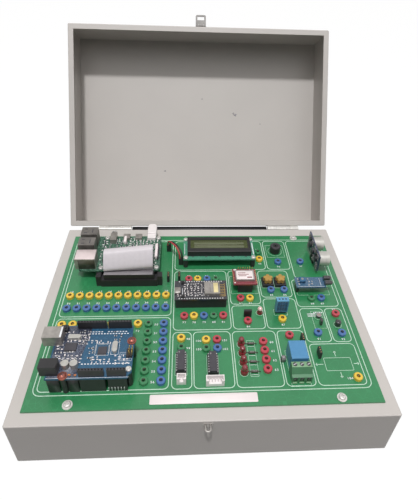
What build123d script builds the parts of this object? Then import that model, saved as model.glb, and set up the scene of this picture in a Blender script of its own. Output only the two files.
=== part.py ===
from build123d import *
import math
import os

os.makedirs("parts", exist_ok=True)

# All sizes are in mm. +X is right, +Y is back and +Z is up.
# The origin is the middle of the base's underside, and the lid stands open at rest.

# Sheet-metal case
CASE_W = 320.0
CASE_D = 245.0
BASE_H = 54.5
LID_DEPTH = 60.0
SHEET = 1.2
CORNER_R = 1.6
BEND_R = 0.9
BASE_FLANGE = 24.0
BASE_SIDE_FLANGE = 20.0
LID_FLANGE = 6.5
LID_GAP = 0.4
LID_OPEN_DEG = 121.7

# Fits: pins and rivets in their holes, and pins that turn
FIXED_FIT = 0.03
RUNNING_FIT = 0.06
SIDE_PLAY = 0.3

# Butt hinges on the back walls
HINGE_SPREAD = 210.0
HINGE_L = 39.4
HINGE_MIDDLE_L = 17.0
HINGE_OFFSET = 3.5
HINGE_DROP = 1.6
KNUCKLE_R = 2.6
HINGE_PIN_R = 1.4
LEAF_H = 20.0
LEAF_T = 1.2
LEAF_RELIEF = 0.35
RIVET_R = 1.5
RIVET_HEAD_R = 2.8
RIVET_HEAD_H = 0.9
HINGE_RIVET_SPREAD = 24.0

# Hasp on the lid's front wall, and the staple below it
HASP_W = 12.5
HASP_T = 1.2
HASP_LEAF_T = 1.0
HASP_LEAF_H = 11.0
HASP_OFFSET = 2.2
HASP_RISE = 3.5
HASP_KNUCKLE_R = 1.7
HASP_PIN_R = 0.9
HASP_MIDDLE_L = 6.0
HASP_TO_SLOT = 8.5
HASP_END_WALL = 2.0
SLOT_PLAY = 1.1
HASP_RIVET_SPREAD = 6.4
STAPLE_WIRE_R = 1.0
STAPLE_SPREAD = 4.2
STAPLE_REACH = 6.8
STAPLE_PLATE_T = 0.8
STAPLE_TAIL = 2.0

# Printed circuit panel on the base's flange
PANEL_T = 1.6
PANEL_SIDE_BORDER = 10.75
PANEL_FRONT_BORDER = 11.2
PANEL_BACK_BORDER = 15.0
PANEL_SCREW_SIDE_INSET = 36.0
PANEL_SCREW_BACK_LEFT_INSET = 25.0
PANEL_SCREW_EDGE_INSET = 4.8
PANEL_SCREW_R = 1.5
PANEL_SCREW_HEAD_R = 2.9
PANEL_WASHER_R = 4.2
PANEL_WASHER_H = 0.8
PANEL_SCREW_L = 9.0
DRILL_L = 400.0

# Patch sockets, of one size in four colours
SOCKET_R = 4.0
SOCKET_H = 3.4
SOCKET_EDGE = 0.6
SOCKET_BORE_R = 1.05
SOCKET_FUNNEL = 0.6
SHANK_R = 2.0
SHANK_TAIL = 3.0
SOCKET_FLOOR = 1.0
ROW_COUNT = 11
ROW_PITCH = 9.7
COLUMN_COUNT = 7
COLUMN_PITCH = 10.25

# Boards of the plug-in modules, and how far their undersides stand off the panel
BOARD_T = 1.6
CONTROLLER_L = 68.6
CONTROLLER_D = 53.4
CONTROLLER_LIFT = 18.4
COMPUTER_L = 85.0
COMPUTER_D = 56.0
COMPUTER_LIFT = 11.2
DISPLAY_L = 80.0
DISPLAY_D = 36.0
DISPLAY_LIFT = 10.4
WIFI_L = 53.0
WIFI_D = 26.0
WIFI_LIFT = 11.2
RADIO_L = 25.0
RADIO_D = 22.5
RADIO_LIFT = 10.6
DISTANCE_L = 45.0
DISTANCE_H = 20.0
DISTANCE_LIFT = 5.0
OBSTACLE_L = 31.0
OBSTACLE_D = 14.5
OBSTACLE_LIFT = 9.2
SUPPLY_L = 80.0
SUPPLY_D = 62.0
SUPPLY_DROP = 10.0

# Standoffs and their screws
SPACER_R = 2.6
SPACER_BORE_R = 1.35
BOARD_SCREW_R = 1.25
BOARD_SCREW_HEAD_R = 2.5
BOARD_SCREW_HEAD_H = 1.9
BOARD_SCREW_L = 7.0

# Pin strips share the 0.1 inch grid
PIN_PITCH = 2.54
STRIP_D = 2.5
FEMALE_STRIP_H = 8.5

# Places on the panel, from the middle of the case, with the controller board's measured from the panel's front
CONTROLLER_X, CONTROLLER_FROM_FRONT = -130.9, 15.3
COMPUTER_X, COMPUTER_Y = -131.0, 35.5
RIBBON_HEADER_X, RIBBON_HEADER_Y = -77.0, 29.2
DISPLAY_X, DISPLAY_Y = 19.5, 70.5
WIFI_X, WIFI_Y = -2.8, 6.5
RADIO_X, RADIO_Y = 44.2, 25.4
BUZZER_X, BUZZER_Y = 86.5, 79.0
KEYS_Y = 26.8
LEFT_KEY_X, RIGHT_KEY_X = 69.8, 83.4
DISTANCE_X, DISTANCE_Y = 127.0, 62.7
OBSTACLE_X, OBSTACLE_Y = 113.0, 17.8
CLIMATE_X, CLIMATE_Y = 77.3, -13.0
RELAY_X, RELAY_Y = 81.7, -68.8
TERMINAL_X, TERMINAL_Y = 81.9, -86.0
FIRST_CHIP_X, FIRST_CHIP_Y = -22.0, -71.0
SECOND_CHIP_X, SECOND_CHIP_Y = 6.0, -73.1
FIRST_PLUG_X, FIRST_PLUG_Y = -21.6, -87.8
SECOND_PLUG_X, SECOND_PLUG_Y = 7.1, -90.2
LEDS_X, RESISTORS_X, LED_SOCKETS_X = 33.4, 42.4, 54.4
LEDS_Y, LED_SOCKETS_Y = -51.1, -49.1
LED_PITCH, LED_COUNT = 9.8, 4
SMALL_LED_X, SMALL_LED_Y = 56.0, -13.6
TRANSISTOR_X, TRANSISTOR_Y = 69.4, -70.4
LIGHT_CELL_X, LIGHT_CELL_Y = 114.6, -19.6
HEAT_SENSOR_X, HEAT_SENSOR_Y = 114.6, -28.6
FLAME_SENSOR_X, FLAME_SENSOR_Y = 131.2, -30.0
START_X, START_Y = -38.5, 80.5
END_X, END_Y = -24.6, 58.0
SUPPLY_X, SUPPLY_Y = 84.0, 88.0
UPRIGHT_STRIPS = [(91.4, -49.4), (103.8, -64.6), (-36.6, 34.0), (-25.0, 34.0)]
LEVEL_STRIP = (43.2, -17.4)

# Places of the patch sockets: two rows, two columns and the ones that stand by a module
ROW_X, YELLOW_ROW_Y, BLUE_ROW_Y = -135.3, 10.6, -5.9
COLUMN_Y, GREEN_COLUMN_X, BLUE_COLUMN_X = -26.1, -53.7, -39.0
YELLOW_PLACES = [(-135.3, -26.2), (-125.3, -26.1), (-63.7, -26.0), (-5.2, 33.1), (-9.9, -17.3), (48.3, 5.0),
                 (77.4, -22.6), (65.9, 64.2), (-22.2, -43.7), (1.0, -46.1), (132.7, -88.5)]
BLUE_PLACES = [(4.7, 33.1), (-0.1, -17.3), (86.8, 59.5), (112.5, 59.7), (72.0, 16.4), (86.1, 16.4),
               (123.1, 4.1), (108.9, -40.0), (132.0, -41.0), (11.1, -55.6)]
GREEN_PLACES = [(14.2, 33.1), (9.5, -17.3), (-22.0, -54.0), (0.9, -55.4), (65.7, 75.9), (112.7, 3.9)]
RED_PLACES = [(-14.6, 33.1), (-19.4, -17.3), (19.0, -17.3), (38.5, 5.3), (42.8, -24.4), (80.6, -42.4),
              (11.2, -45.9), (132.5, -17.1)]

# Worked out from the sizes above
PANEL_W = CASE_W - 2 * PANEL_SIDE_BORDER
PANEL_D = CASE_D - PANEL_FRONT_BORDER - PANEL_BACK_BORDER
PANEL_Y = (PANEL_FRONT_BORDER - PANEL_BACK_BORDER) / 2
PANEL_TOP = BASE_H + PANEL_T
CONTROLLER_Y = PANEL_Y - PANEL_D / 2 + CONTROLLER_FROM_FRONT
WALL_Y = CASE_D / 2
HINGE_Y = WALL_Y + HINGE_OFFSET
HINGE_Z = BASE_H - HINGE_DROP
RIM_Z = BASE_H + LID_GAP
HASP_Y = -WALL_Y - HASP_OFFSET
HASP_Z = RIM_Z + HASP_RISE
SLOT_W = STAPLE_SPREAD + 2 * STAPLE_WIRE_R + 2 * SLOT_PLAY
SLOT_H = 2 * (STAPLE_WIRE_R + SLOT_PLAY)
STAPLE_Z = HASP_Z - HASP_TO_SLOT
HINGE_XS = (-HINGE_SPREAD / 2, HINGE_SPREAD / 2)


def block(w, d, h, x=0.0, y=0.0, z=0.0):
    # A box standing on height z, with its middle at x, y
    return Pos(x, y, z) * Box(w, d, h, align=(Align.CENTER, Align.CENTER, Align.MIN))


def post(r, h, x=0.0, y=0.0, z=0.0):
    # An upright cylinder standing on height z
    return Pos(x, y, z) * Cylinder(r, h, align=(Align.CENTER, Align.CENTER, Align.MIN))


def rod_x(r, length, x, y, z):
    # A cylinder along X with its middle at x
    return Pos(x, y, z) * Rot(0, 90, 0) * Cylinder(r, length)


def rod_y(r, length, x, y, z):
    # A cylinder along Y with its middle at y
    return Pos(x, y, z) * Rot(90, 0, 0) * Cylinder(r, length)


def turned(points):
    # A solid of revolution about Z, from points given as radius and height
    face = Plane.XZ * make_face(Polyline(*points, close=True))
    return revolve(face, Axis.Z)


def group(solids):
    # Separate solids of one sub-part
    return Compound(children=list(solids))


def opened(shape):
    # Swings a piece that is modelled on the closed lid to where the open lid holds it
    return Pos(0, HINGE_Y, HINGE_Z) * Rot(-LID_OPEN_DEG, 0, 0) * Pos(0, -HINGE_Y, -HINGE_Z) * shape


def tray(height, flange, side_flange):
    # A folded sheet tray, closed below, with an inward flange round its open top
    outer = extrude(RectangleRounded(CASE_W, CASE_D, CORNER_R), height)
    outer = fillet(outer.faces().sort_by(Axis.Z)[0].edges() + outer.faces().sort_by(Axis.Z)[-1].edges(), BEND_R)
    inner_w, inner_d = CASE_W - 2 * SHEET, CASE_D - 2 * SHEET
    cavity = Pos(0, 0, SHEET) * extrude(RectangleRounded(inner_w, inner_d, CORNER_R - SHEET), height - 2 * SHEET)
    mouth = block(CASE_W - 2 * side_flange, CASE_D - 2 * flange, 3 * SHEET, z=height - 2 * SHEET)
    return outer - cavity - mouth


# Rivets: a shank through the leaf and the wall, with a head at each side

def rivet(grip):
    shank = post(RIVET_R, grip)
    outside = chamfer(post(RIVET_HEAD_R, RIVET_HEAD_H, z=grip).faces().sort_by(Axis.Z)[-1].edges(), RIVET_HEAD_H / 2)
    inside = post(RIVET_HEAD_R, RIVET_HEAD_H, z=-RIVET_HEAD_H)
    return shank + outside + inside


def hinge_rivet_places(height):
    return [(x + dx, height) for x in HINGE_XS for dx in (-HINGE_RIVET_SPREAD / 2, HINGE_RIVET_SPREAD / 2)]


LEAF_RIVET_DROP = KNUCKLE_R + LEAF_RELIEF + LEAF_H / 2
BASE_RIVETS = hinge_rivet_places(HINGE_Z - LEAF_RIVET_DROP)
LID_RIVETS = hinge_rivet_places(HINGE_Z + LEAF_RIVET_DROP)
HASP_RIVET_Z = HASP_Z + HASP_LEAF_H - RIVET_HEAD_R - HASP_LEAF_T
HASP_RIVETS = [(-HASP_RIVET_SPREAD / 2, HASP_RIVET_Z), (HASP_RIVET_SPREAD / 2, HASP_RIVET_Z)]


def back_rivets(places, leaf_t):
    facing_back = Rot(-90, 0, 0) * rivet(SHEET + leaf_t)
    return [Pos(x, WALL_Y - SHEET, z) * facing_back for x, z in places]


def front_rivets(places, leaf_t):
    facing_front = Rot(90, 0, 0) * rivet(SHEET + leaf_t)
    return [Pos(x, -WALL_Y + SHEET, z) * facing_front for x, z in places]


def wall_holes(places, r, y):
    return [rod_y(r + FIXED_FIT, 12 * SHEET, x, y, z) for x, z in places]


# Hinges: three knuckles each, the middle one on the base's leaf

def leaf(x, side, knuckles, turning_fit):
    # side is -1 for the base's leaf, which hangs down, and +1 for the lid's
    foot = HINGE_Z + side * (KNUCKLE_R + LEAF_RELIEF + LEAF_H / 2)
    plate = Pos(x, WALL_Y + LEAF_T / 2, foot) * Box(HINGE_L, LEAF_T, LEAF_H)
    shape = plate
    tab_t = LEAF_T - LEAF_RELIEF
    tab_h = KNUCKLE_R + 2 * LEAF_RELIEF
    curl_t = KNUCKLE_R - HINGE_PIN_R
    for offset, length in knuckles:
        tab_z = HINGE_Z + side * tab_h / 2
        tab = Pos(x + offset, WALL_Y + LEAF_RELIEF + tab_t / 2, tab_z) * Box(length, tab_t, tab_h)
        curl_y = WALL_Y + LEAF_RELIEF + (HINGE_OFFSET - LEAF_RELIEF) / 2
        curl_z = HINGE_Z + side * (KNUCKLE_R - curl_t / 2)
        curl = Pos(x + offset, curl_y, curl_z) * Box(length, HINGE_OFFSET - LEAF_RELIEF, curl_t)
        shape += tab + curl + rod_x(KNUCKLE_R, length, x + offset, HINGE_Y, HINGE_Z)
    shape -= rod_x(HINGE_PIN_R + turning_fit, 2 * HINGE_L, x, HINGE_Y, HINGE_Z)
    places = BASE_RIVETS if side < 0 else LID_RIVETS
    return shape - wall_holes(places, RIVET_R, WALL_Y)


HINGE_END_L = (HINGE_L - HINGE_MIDDLE_L) / 2 - SIDE_PLAY
HINGE_END_AT = (HINGE_L - HINGE_END_L) / 2
BASE_KNUCKLES = [(0.0, HINGE_MIDDLE_L)]
LID_KNUCKLES = [(-HINGE_END_AT, HINGE_END_L), (HINGE_END_AT, HINGE_END_L)]


# Case base, with its holes for rivets, staple, panel screws and the power jack

def panel_screw_places():
    x = PANEL_W / 2 - PANEL_SCREW_SIDE_INSET
    front = PANEL_Y - PANEL_D / 2 + PANEL_SCREW_EDGE_INSET
    back = PANEL_Y + PANEL_D / 2 - PANEL_SCREW_EDGE_INSET
    back_left = PANEL_SCREW_BACK_LEFT_INSET - PANEL_W / 2
    return [(-x, front), (x, front), (back_left, back), (x, back)]


JACK_W, JACK_L, JACK_H = 9.0, 14.0, 11.0
JACK_OUT = 0.8
JACK_BORE_R, JACK_PIN_R = 3.2, 1.0
JACK_BORE_DEPTH = 9.0
JACK_SIDE = 24.0
JACK_X = SUPPLY_X - JACK_SIDE
SUPPLY_TOP = BASE_H - SUPPLY_DROP
SUPPLY_BOTTOM = SUPPLY_TOP - BOARD_T
STAPLE_LEGS = [(-STAPLE_SPREAD / 2, STAPLE_Z), (STAPLE_SPREAD / 2, STAPLE_Z)]


def base_shell():
    shell = tray(BASE_H, BASE_FLANGE, BASE_SIDE_FLANGE)
    shell -= wall_holes(BASE_RIVETS, RIVET_R, WALL_Y)
    shell -= wall_holes(STAPLE_LEGS, STAPLE_WIRE_R, -WALL_Y)
    shell -= [post(PANEL_SCREW_R + FIXED_FIT, 4 * SHEET, x, y, BASE_H - 2 * SHEET) for x, y in panel_screw_places()]
    jack_hole = block(JACK_W + 2 * SIDE_PLAY, 4 * SHEET, JACK_H + 2 * SIDE_PLAY, JACK_X, WALL_Y,
                      SUPPLY_BOTTOM - JACK_H - SIDE_PLAY)
    return shell - jack_hole


def lid_shell():
    # The tray turned over: its mouth meets the base, and its floor is the lid's broad plate
    shell = Pos(0, 0, RIM_Z + LID_DEPTH) * Rot(180, 0, 0) * tray(LID_DEPTH, LID_FLANGE, LID_FLANGE)
    shell -= wall_holes(LID_RIVETS, RIVET_R, WALL_Y)
    return shell - wall_holes(HASP_RIVETS, RIVET_R, -WALL_Y)


def lock_staple():
    # A wire loop that lies level, with its two ends through the front wall
    root = -WALL_Y + SHEET + STAPLE_TAIL
    tip = -WALL_Y - STAPLE_REACH + STAPLE_WIRE_R
    half = STAPLE_SPREAD / 2
    route = FilletPolyline((-half, root, STAPLE_Z), (-half, tip, STAPLE_Z), (half, tip, STAPLE_Z),
                           (half, root, STAPLE_Z), radius=half - 0.1)
    loop = sweep(Plane(route @ 0, z_dir=route % 0) * Circle(STAPLE_WIRE_R), route)
    plate_w = STAPLE_SPREAD + 4 * STAPLE_WIRE_R
    plate = Pos(0, -WALL_Y - STAPLE_PLATE_T / 2, STAPLE_Z) * Box(plate_w, STAPLE_PLATE_T, 5 * STAPLE_WIRE_R)
    return loop + plate


# Hasp: the leaf is riveted to the lid, and the slotted plate swings on its pin

def hasp_leaf():
    plate = block(HASP_W, HASP_LEAF_T, HASP_LEAF_H, 0, -WALL_Y - HASP_LEAF_T / 2, HASP_Z)
    notch = HASP_KNUCKLE_R + LEAF_RELIEF
    plate -= block(HASP_MIDDLE_L + 2 * SIDE_PLAY, 4 * HASP_LEAF_T, 2 * notch, 0, -WALL_Y, HASP_Z - notch)
    end_l = (HASP_W - HASP_MIDDLE_L) / 2 - SIDE_PLAY
    for side in (-1, 1):
        plate += rod_x(HASP_KNUCKLE_R, end_l, side * (HASP_W - end_l) / 2, HASP_Y, HASP_Z)
    plate -= rod_x(HASP_PIN_R + FIXED_FIT, 2 * HASP_W, 0, HASP_Y, HASP_Z)
    return plate - wall_holes(HASP_RIVETS, RIVET_R, -WALL_Y)


def hasp_plate():
    length = HASP_TO_SLOT + SLOT_H / 2 + HASP_END_WALL
    neck = HASP_KNUCKLE_R + LEAF_RELIEF
    middle_y = HASP_Y - (neck + length) / 2
    plate = Pos(0, middle_y, HASP_Z) * Box(HASP_W, length - neck, HASP_T)
    plate = fillet(plate.edges().filter_by(Axis.Z).group_by(Axis.Y)[0], 2.0)
    plate += Pos(0, HASP_Y - neck / 2, HASP_Z) * Box(HASP_MIDDLE_L, neck, HASP_T)
    plate += rod_x(HASP_KNUCKLE_R, HASP_MIDDLE_L, 0, HASP_Y, HASP_Z)
    plate -= rod_x(HASP_PIN_R + RUNNING_FIT, 2 * HASP_W, 0, HASP_Y, HASP_Z)
    return plate - Pos(0, HASP_Y - HASP_TO_SLOT, HASP_Z) * Box(SLOT_W, SLOT_H, 4 * HASP_T)


def hinge_pins():
    pins = [rod_x(HINGE_PIN_R, HINGE_L, x, HINGE_Y, HINGE_Z) for x in HINGE_XS]
    return pins + [rod_x(HASP_PIN_R, HASP_W, 0, HASP_Y, HASP_Z)]


# Panel, its screws and its sockets

def socket_places():
    row = [ROW_X + i * ROW_PITCH for i in range(ROW_COUNT)]
    column = [COLUMN_Y - i * COLUMN_PITCH for i in range(COLUMN_COUNT)]
    leds = [(LED_SOCKETS_X, LED_SOCKETS_Y - i * LED_PITCH) for i in range(LED_COUNT)]
    return {
        "yellow": [(x, YELLOW_ROW_Y) for x in row] + YELLOW_PLACES,
        "blue": [(x, BLUE_ROW_Y) for x in row] + [(BLUE_COLUMN_X, y) for y in column] + BLUE_PLACES,
        "green": [(GREEN_COLUMN_X, y) for y in column] + GREEN_PLACES,
        "red": leds + RED_PLACES,
    }


def panel_board():
    board = block(PANEL_W, PANEL_D, PANEL_T, 0, PANEL_Y, BASE_H)
    shanks = [place for places in socket_places().values() for place in places]
    cuts = [post(SHANK_R + FIXED_FIT, 3 * PANEL_T, x, y, BASE_H - PANEL_T) for x, y in shanks]
    cuts += [post(PANEL_SCREW_R + FIXED_FIT, 3 * PANEL_T, x, y, BASE_H - PANEL_T) for x, y in panel_screw_places()]
    return board - cuts


def panel_screw():
    # A screw with its washer pressed on, driven through the panel into the flange
    shank = post(PANEL_SCREW_R, PANEL_SCREW_L, z=-PANEL_SCREW_L)
    washer = post(PANEL_WASHER_R, PANEL_WASHER_H)
    head = post(PANEL_SCREW_HEAD_R, PANEL_SCREW_HEAD_R * 0.7, z=PANEL_WASHER_H)
    head = fillet(head.faces().sort_by(Axis.Z)[-1].edges(), PANEL_SCREW_HEAD_R * 0.4)
    slot = block(PANEL_SCREW_HEAD_R * 1.2, 0.7, 2.0, z=PANEL_WASHER_H + PANEL_SCREW_HEAD_R * 0.7 - 0.8)
    return shank + washer + (head - slot - Rot(0, 0, 90) * slot)


def socket():
    tail = -PANEL_T - SHANK_TAIL
    return turned([(0, tail), (SHANK_R, tail), (SHANK_R, 0), (SOCKET_R, 0), (SOCKET_R, SOCKET_H - SOCKET_EDGE),
                   (SOCKET_R - SOCKET_EDGE, SOCKET_H), (SOCKET_BORE_R + SOCKET_FUNNEL, SOCKET_H),
                   (SOCKET_BORE_R, SOCKET_H - SOCKET_FUNNEL), (SOCKET_BORE_R, tail + SOCKET_FLOOR),
                   (0, tail + SOCKET_FLOOR)])


def sockets(colour):
    one = socket()
    return [Pos(x, y, PANEL_TOP) * one for x, y in socket_places()[colour]]


# Standoffs and screws that carry a board at its corner holes

CONTROLLER_HOLES = [(13.97, 2.54), (66.04, 7.62), (66.04, 35.56)]
COMPUTER_HOLES = [(23.5, 3.5), (81.5, 3.5), (23.5, 52.5), (81.5, 52.5)]
DISPLAY_HOLE_INSET = 2.5
SUPPLY_HOLE_INSET = 5.0


def controller_screw_places():
    return [(CONTROLLER_X + x, CONTROLLER_Y + y) for x, y in CONTROLLER_HOLES]


def computer_screw_places():
    return [(COMPUTER_X + x, COMPUTER_Y + y) for x, y in COMPUTER_HOLES]


def corner_places(x, y, length, depth, inset):
    half_l, half_d = length / 2 - inset, depth / 2 - inset
    return [(x + sx * half_l, y + sy * half_d) for sx in (-1, 1) for sy in (-1, 1)]


def display_screw_places():
    return corner_places(DISPLAY_X, DISPLAY_Y, DISPLAY_L, DISPLAY_D, DISPLAY_HOLE_INSET)


def supply_spacer_places():
    # Only the four places in front of the flange, which the spacers have to miss
    front = SUPPLY_Y - SUPPLY_D / 2 + SUPPLY_HOLE_INSET
    back = WALL_Y - BASE_FLANGE - SPACER_R - 2.0
    half = SUPPLY_L / 2 - SUPPLY_HOLE_INSET
    return [(SUPPLY_X + sx * half, y) for sx in (-1, 1) for y in (front, back)]


def spacer(height):
    return post(SPACER_R, height) - post(SPACER_BORE_R, 2 * height, z=-height / 2)


def board_spacers():
    solids = [Pos(x, y, PANEL_TOP) * spacer(CONTROLLER_LIFT) for x, y in controller_screw_places()]
    solids += [Pos(x, y, PANEL_TOP) * spacer(COMPUTER_LIFT) for x, y in computer_screw_places()]
    solids += [Pos(x, y, PANEL_TOP) * spacer(DISPLAY_LIFT) for x, y in display_screw_places()]
    solids += [Pos(x, y, SUPPLY_TOP) * post(SPACER_R, SUPPLY_DROP) for x, y in supply_spacer_places()]
    return solids


def board_screw():
    head = post(BOARD_SCREW_HEAD_R, BOARD_SCREW_HEAD_H)
    head = fillet(head.faces().sort_by(Axis.Z)[-1].edges(), BOARD_SCREW_HEAD_H * 0.5)
    slot = block(BOARD_SCREW_HEAD_R * 1.2, 0.6, 2.0, z=BOARD_SCREW_HEAD_H - 0.7)
    return post(BOARD_SCREW_R, BOARD_SCREW_L, z=-BOARD_SCREW_L) + (head - slot - Rot(0, 0, 90) * slot)


def board_screws():
    one = board_screw()
    tops = [(place, CONTROLLER_LIFT) for place in controller_screw_places()]
    tops += [(place, COMPUTER_LIFT) for place in computer_screw_places()]
    tops += [(place, DISPLAY_LIFT) for place in display_screw_places()]
    return [Pos(x, y, PANEL_TOP + lift + BOARD_T) * one for (x, y), lift in tops]


def drilled(board, places):
    return board - [post(BOARD_SCREW_R + FIXED_FIT, DRILL_L, x, y) for x, y in places]


# Controller board, with its ports to the left

CONTROLLER_BOTTOM = PANEL_TOP + CONTROLLER_LIFT
CONTROLLER_TOP = CONTROLLER_BOTTOM + BOARD_T
CONTROLLER_STEP = 2.54
USB_B_W, USB_B_L, USB_B_H, USB_B_OUT = 12.0, 16.2, 10.9, 8.6
USB_B_Y, POWER_JACK_Y = 38.1, 7.6
POWER_JACK_OUT = 4.2
CAN_R, CAN_H = 3.15, 5.6
CAN_PLACES = [(14.6, 11.2), (21.6, 11.2)]
CRYSTAL_L, CRYSTAL_D, CRYSTAL_H = 11.0, 4.2, 3.4
CRYSTAL_PLACES = [(16.6, 39.4, 0), (52.6, 28.4, 90)]
RESET_X, RESET_Y = 6.2, 48.6


def controller_board():
    s = CONTROLLER_STEP
    l, d = CONTROLLER_L, CONTROLLER_D
    outline = Polyline((0, 0), (l - s, 0), (l - s, s), (l, 2 * s), (l, d - 6.1 * s), (l - s, d - 5.1 * s),
                       (l - s, d - 0.6 * s), (l - 1.6 * s, d), (0, d), close=True)
    board = extrude(Pos(CONTROLLER_X, CONTROLLER_Y, CONTROLLER_BOTTOM) * make_face(outline), BOARD_T)
    return drilled(board, controller_screw_places())


def usb_b_port():
    x = CONTROLLER_X - USB_B_OUT + USB_B_L / 2
    y = CONTROLLER_Y + USB_B_Y
    shell = block(USB_B_L, USB_B_W, USB_B_H, x, y, CONTROLLER_TOP)
    mouth_x = CONTROLLER_X - USB_B_OUT + 4.0
    mouth = Pos(mouth_x, y, CONTROLLER_TOP + USB_B_H / 2) * Box(9.0, 8.4, 7.8)
    tongue = Pos(mouth_x + 0.5, y, CONTROLLER_TOP + USB_B_H / 2) * Box(8.0, 5.6, 3.2)
    return shell - mouth + tongue


def barrel_jack():
    # Its bore runs along -X from the mouth at x = 0, and it stands on z = 0
    body = block(JACK_L, JACK_W, JACK_H, JACK_L / 2)
    bore = Pos(0, 0, JACK_H / 2 + 0.6)
    cut = bore * Pos(JACK_BORE_DEPTH / 2, 0, 0) * Rot(0, 90, 0) * Cylinder(JACK_BORE_R, JACK_BORE_DEPTH)
    pin = bore * Pos(JACK_BORE_DEPTH / 2 + 1.0, 0, 0) * Rot(0, 90, 0) * Cylinder(JACK_PIN_R, JACK_BORE_DEPTH)
    return body - cut + pin


def female_strip(count, x, y, z, height=FEMALE_STRIP_H):
    # A socket strip along X that starts at x, with a square hole for each pin
    length = count * PIN_PITCH
    strip = block(length, STRIP_D, height, x + length / 2, y, z)
    holes = [block(1.0, 1.0, height, x + (i + 0.5) * PIN_PITCH, y, z + 2.0) for i in range(count)]
    return strip - holes


# How many pins each strip has, and where it starts along the board: two at the front, then two at the back
STRIP_COUNTS = (8, 6, 10, 8)
STRIP_STARTS = (26.7, 49.5, 17.5, 44.5)


def controller_strip_places():
    front, back = CONTROLLER_Y + PIN_PITCH, CONTROLLER_Y + CONTROLLER_D - PIN_PITCH
    ys = (front, front, back, back)
    return [(count, CONTROLLER_X + x, y) for count, x, y in zip(STRIP_COUNTS, STRIP_STARTS, ys)]


def controller_headers():
    return [female_strip(count, x, y, CONTROLLER_TOP) for count, x, y in controller_strip_places()]


def controller_cans():
    cans = [post(CAN_R, CAN_H, CONTROLLER_X + x, CONTROLLER_Y + y, CONTROLLER_TOP) for x, y in CAN_PLACES]
    outline = RectangleRounded(CRYSTAL_L, CRYSTAL_D, CRYSTAL_D / 2 - 0.1)
    for x, y, turn in CRYSTAL_PLACES:
        at = Pos(CONTROLLER_X + x, CONTROLLER_Y + y, CONTROLLER_TOP) * Rot(0, 0, turn)
        cans.append(extrude(at * outline, CRYSTAL_H))
    return cans


# Small push switches: square bodies on the boards, with a button in each

SWITCH_W, SWITCH_H, SWITCH_WALL = 6.0, 3.5, 0.15
SMALL_SWITCH_W, SMALL_SWITCH_H = 3.6, 1.8
SWITCH_TRAVEL = 0.25
BUTTON_R, BUTTON_PROUD = 1.7, 0.9
SMALL_BUTTON_R, SMALL_BUTTON_PROUD = 0.9, 0.6
BUTTON_DEPTH = 1.0
WIFI_BOTTOM = PANEL_TOP + WIFI_LIFT
WIFI_TOP = WIFI_BOTTOM + BOARD_T
WIFI_SWITCH_X = WIFI_X - WIFI_L / 2 + 8.5
WIFI_SWITCH_YS = (WIFI_Y - WIFI_D / 2 + 3.4, WIFI_Y + WIFI_D / 2 - 3.4)
RESET_PLACE = (CONTROLLER_X + RESET_X, CONTROLLER_Y + RESET_Y, CONTROLLER_TOP)


def switch_body(place, width, height, button_r):
    x, y, z = place
    well = BUTTON_DEPTH + SWITCH_TRAVEL + SWITCH_WALL
    body = block(width, width, height, x, y, z)
    return body - post(button_r + RUNNING_FIT, 2 * well, x, y, z + height - well)


def button(place, height, button_r, proud):
    x, y, z = place
    stem = post(button_r, BUTTON_DEPTH + proud, x, y, z + height - BUTTON_DEPTH)
    return chamfer(stem.faces().sort_by(Axis.Z)[-1].edges(), 0.2)


def switch_bodies():
    small = [(WIFI_SWITCH_X, y, WIFI_TOP) for y in WIFI_SWITCH_YS]
    bodies = [switch_body(place, SMALL_SWITCH_W, SMALL_SWITCH_H, SMALL_BUTTON_R) for place in small]
    return bodies + [switch_body(RESET_PLACE, SWITCH_W, SWITCH_H, BUTTON_R)]


# Single-board computer, with its ports to the left and its pin header in front

COMPUTER_BOTTOM = PANEL_TOP + COMPUTER_LIFT
COMPUTER_TOP = COMPUTER_BOTTOM + BOARD_T
PORT_OUT = 2.8
USB_A_L, USB_A_W, USB_A_H = 17.6, 13.2, 16.0
USB_A_YS = (29.0, 47.0)
NETWORK_L, NETWORK_W, NETWORK_H = 21.2, 15.9, 13.5
NETWORK_Y = 10.25
VIDEO_XS = (45.5, 59.0)
VIDEO_W, VIDEO_L, VIDEO_H, VIDEO_OUT = 7.4, 7.8, 3.2, 1.3
AUDIO_X = 31.0
AUDIO_W, AUDIO_L, AUDIO_H = 7.0, 12.5, 5.8
AUDIO_RING_R, AUDIO_RING_L, AUDIO_BORE_R = 2.8, 2.5, 1.75
GPIO_X, GPIO_Y = 52.5, 3.5
GPIO_L, GPIO_D, GPIO_BASE_H = 50.8, 5.0, 2.5
HEADER_WALL = 1.2
BOX_HEADER_L, BOX_HEADER_D, BOX_HEADER_H = 58.5, 9.0, 9.0
PLUG_L, PLUG_D = 51.6, 6.2
PLUG_H = 9.6
PANEL_PLUG_RISE = 2.6


def computer_board():
    plate = Pos(COMPUTER_X + COMPUTER_L / 2, COMPUTER_Y + COMPUTER_D / 2, COMPUTER_BOTTOM)
    board = extrude(plate * RectangleRounded(COMPUTER_L, COMPUTER_D, 3.0), BOARD_T)
    return drilled(board, computer_screw_places())


def usb_a_stack(y):
    # Two ports one above the other, each with its tongue
    x = COMPUTER_X - PORT_OUT + USB_A_L / 2
    shell = block(USB_A_L, USB_A_W, USB_A_H, x, y, COMPUTER_TOP)
    for level in (4.3, 11.7):
        mouth = Pos(COMPUTER_X - PORT_OUT + 4.5, y, COMPUTER_TOP + level) * Box(10.0, 12.0, 5.2)
        tongue = Pos(COMPUTER_X - PORT_OUT + 5.5, y, COMPUTER_TOP + level + 0.6) * Box(8.4, 10.8, 1.9)
        shell = shell - mouth + tongue
    return shell


def computer_usb_ports():
    return [usb_a_stack(COMPUTER_Y + y) for y in USB_A_YS]


NETWORK_MOUTH_W, NETWORK_MOUTH_H, NETWORK_MOUTH_L = 11.8, 8.4, 14.0


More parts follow.
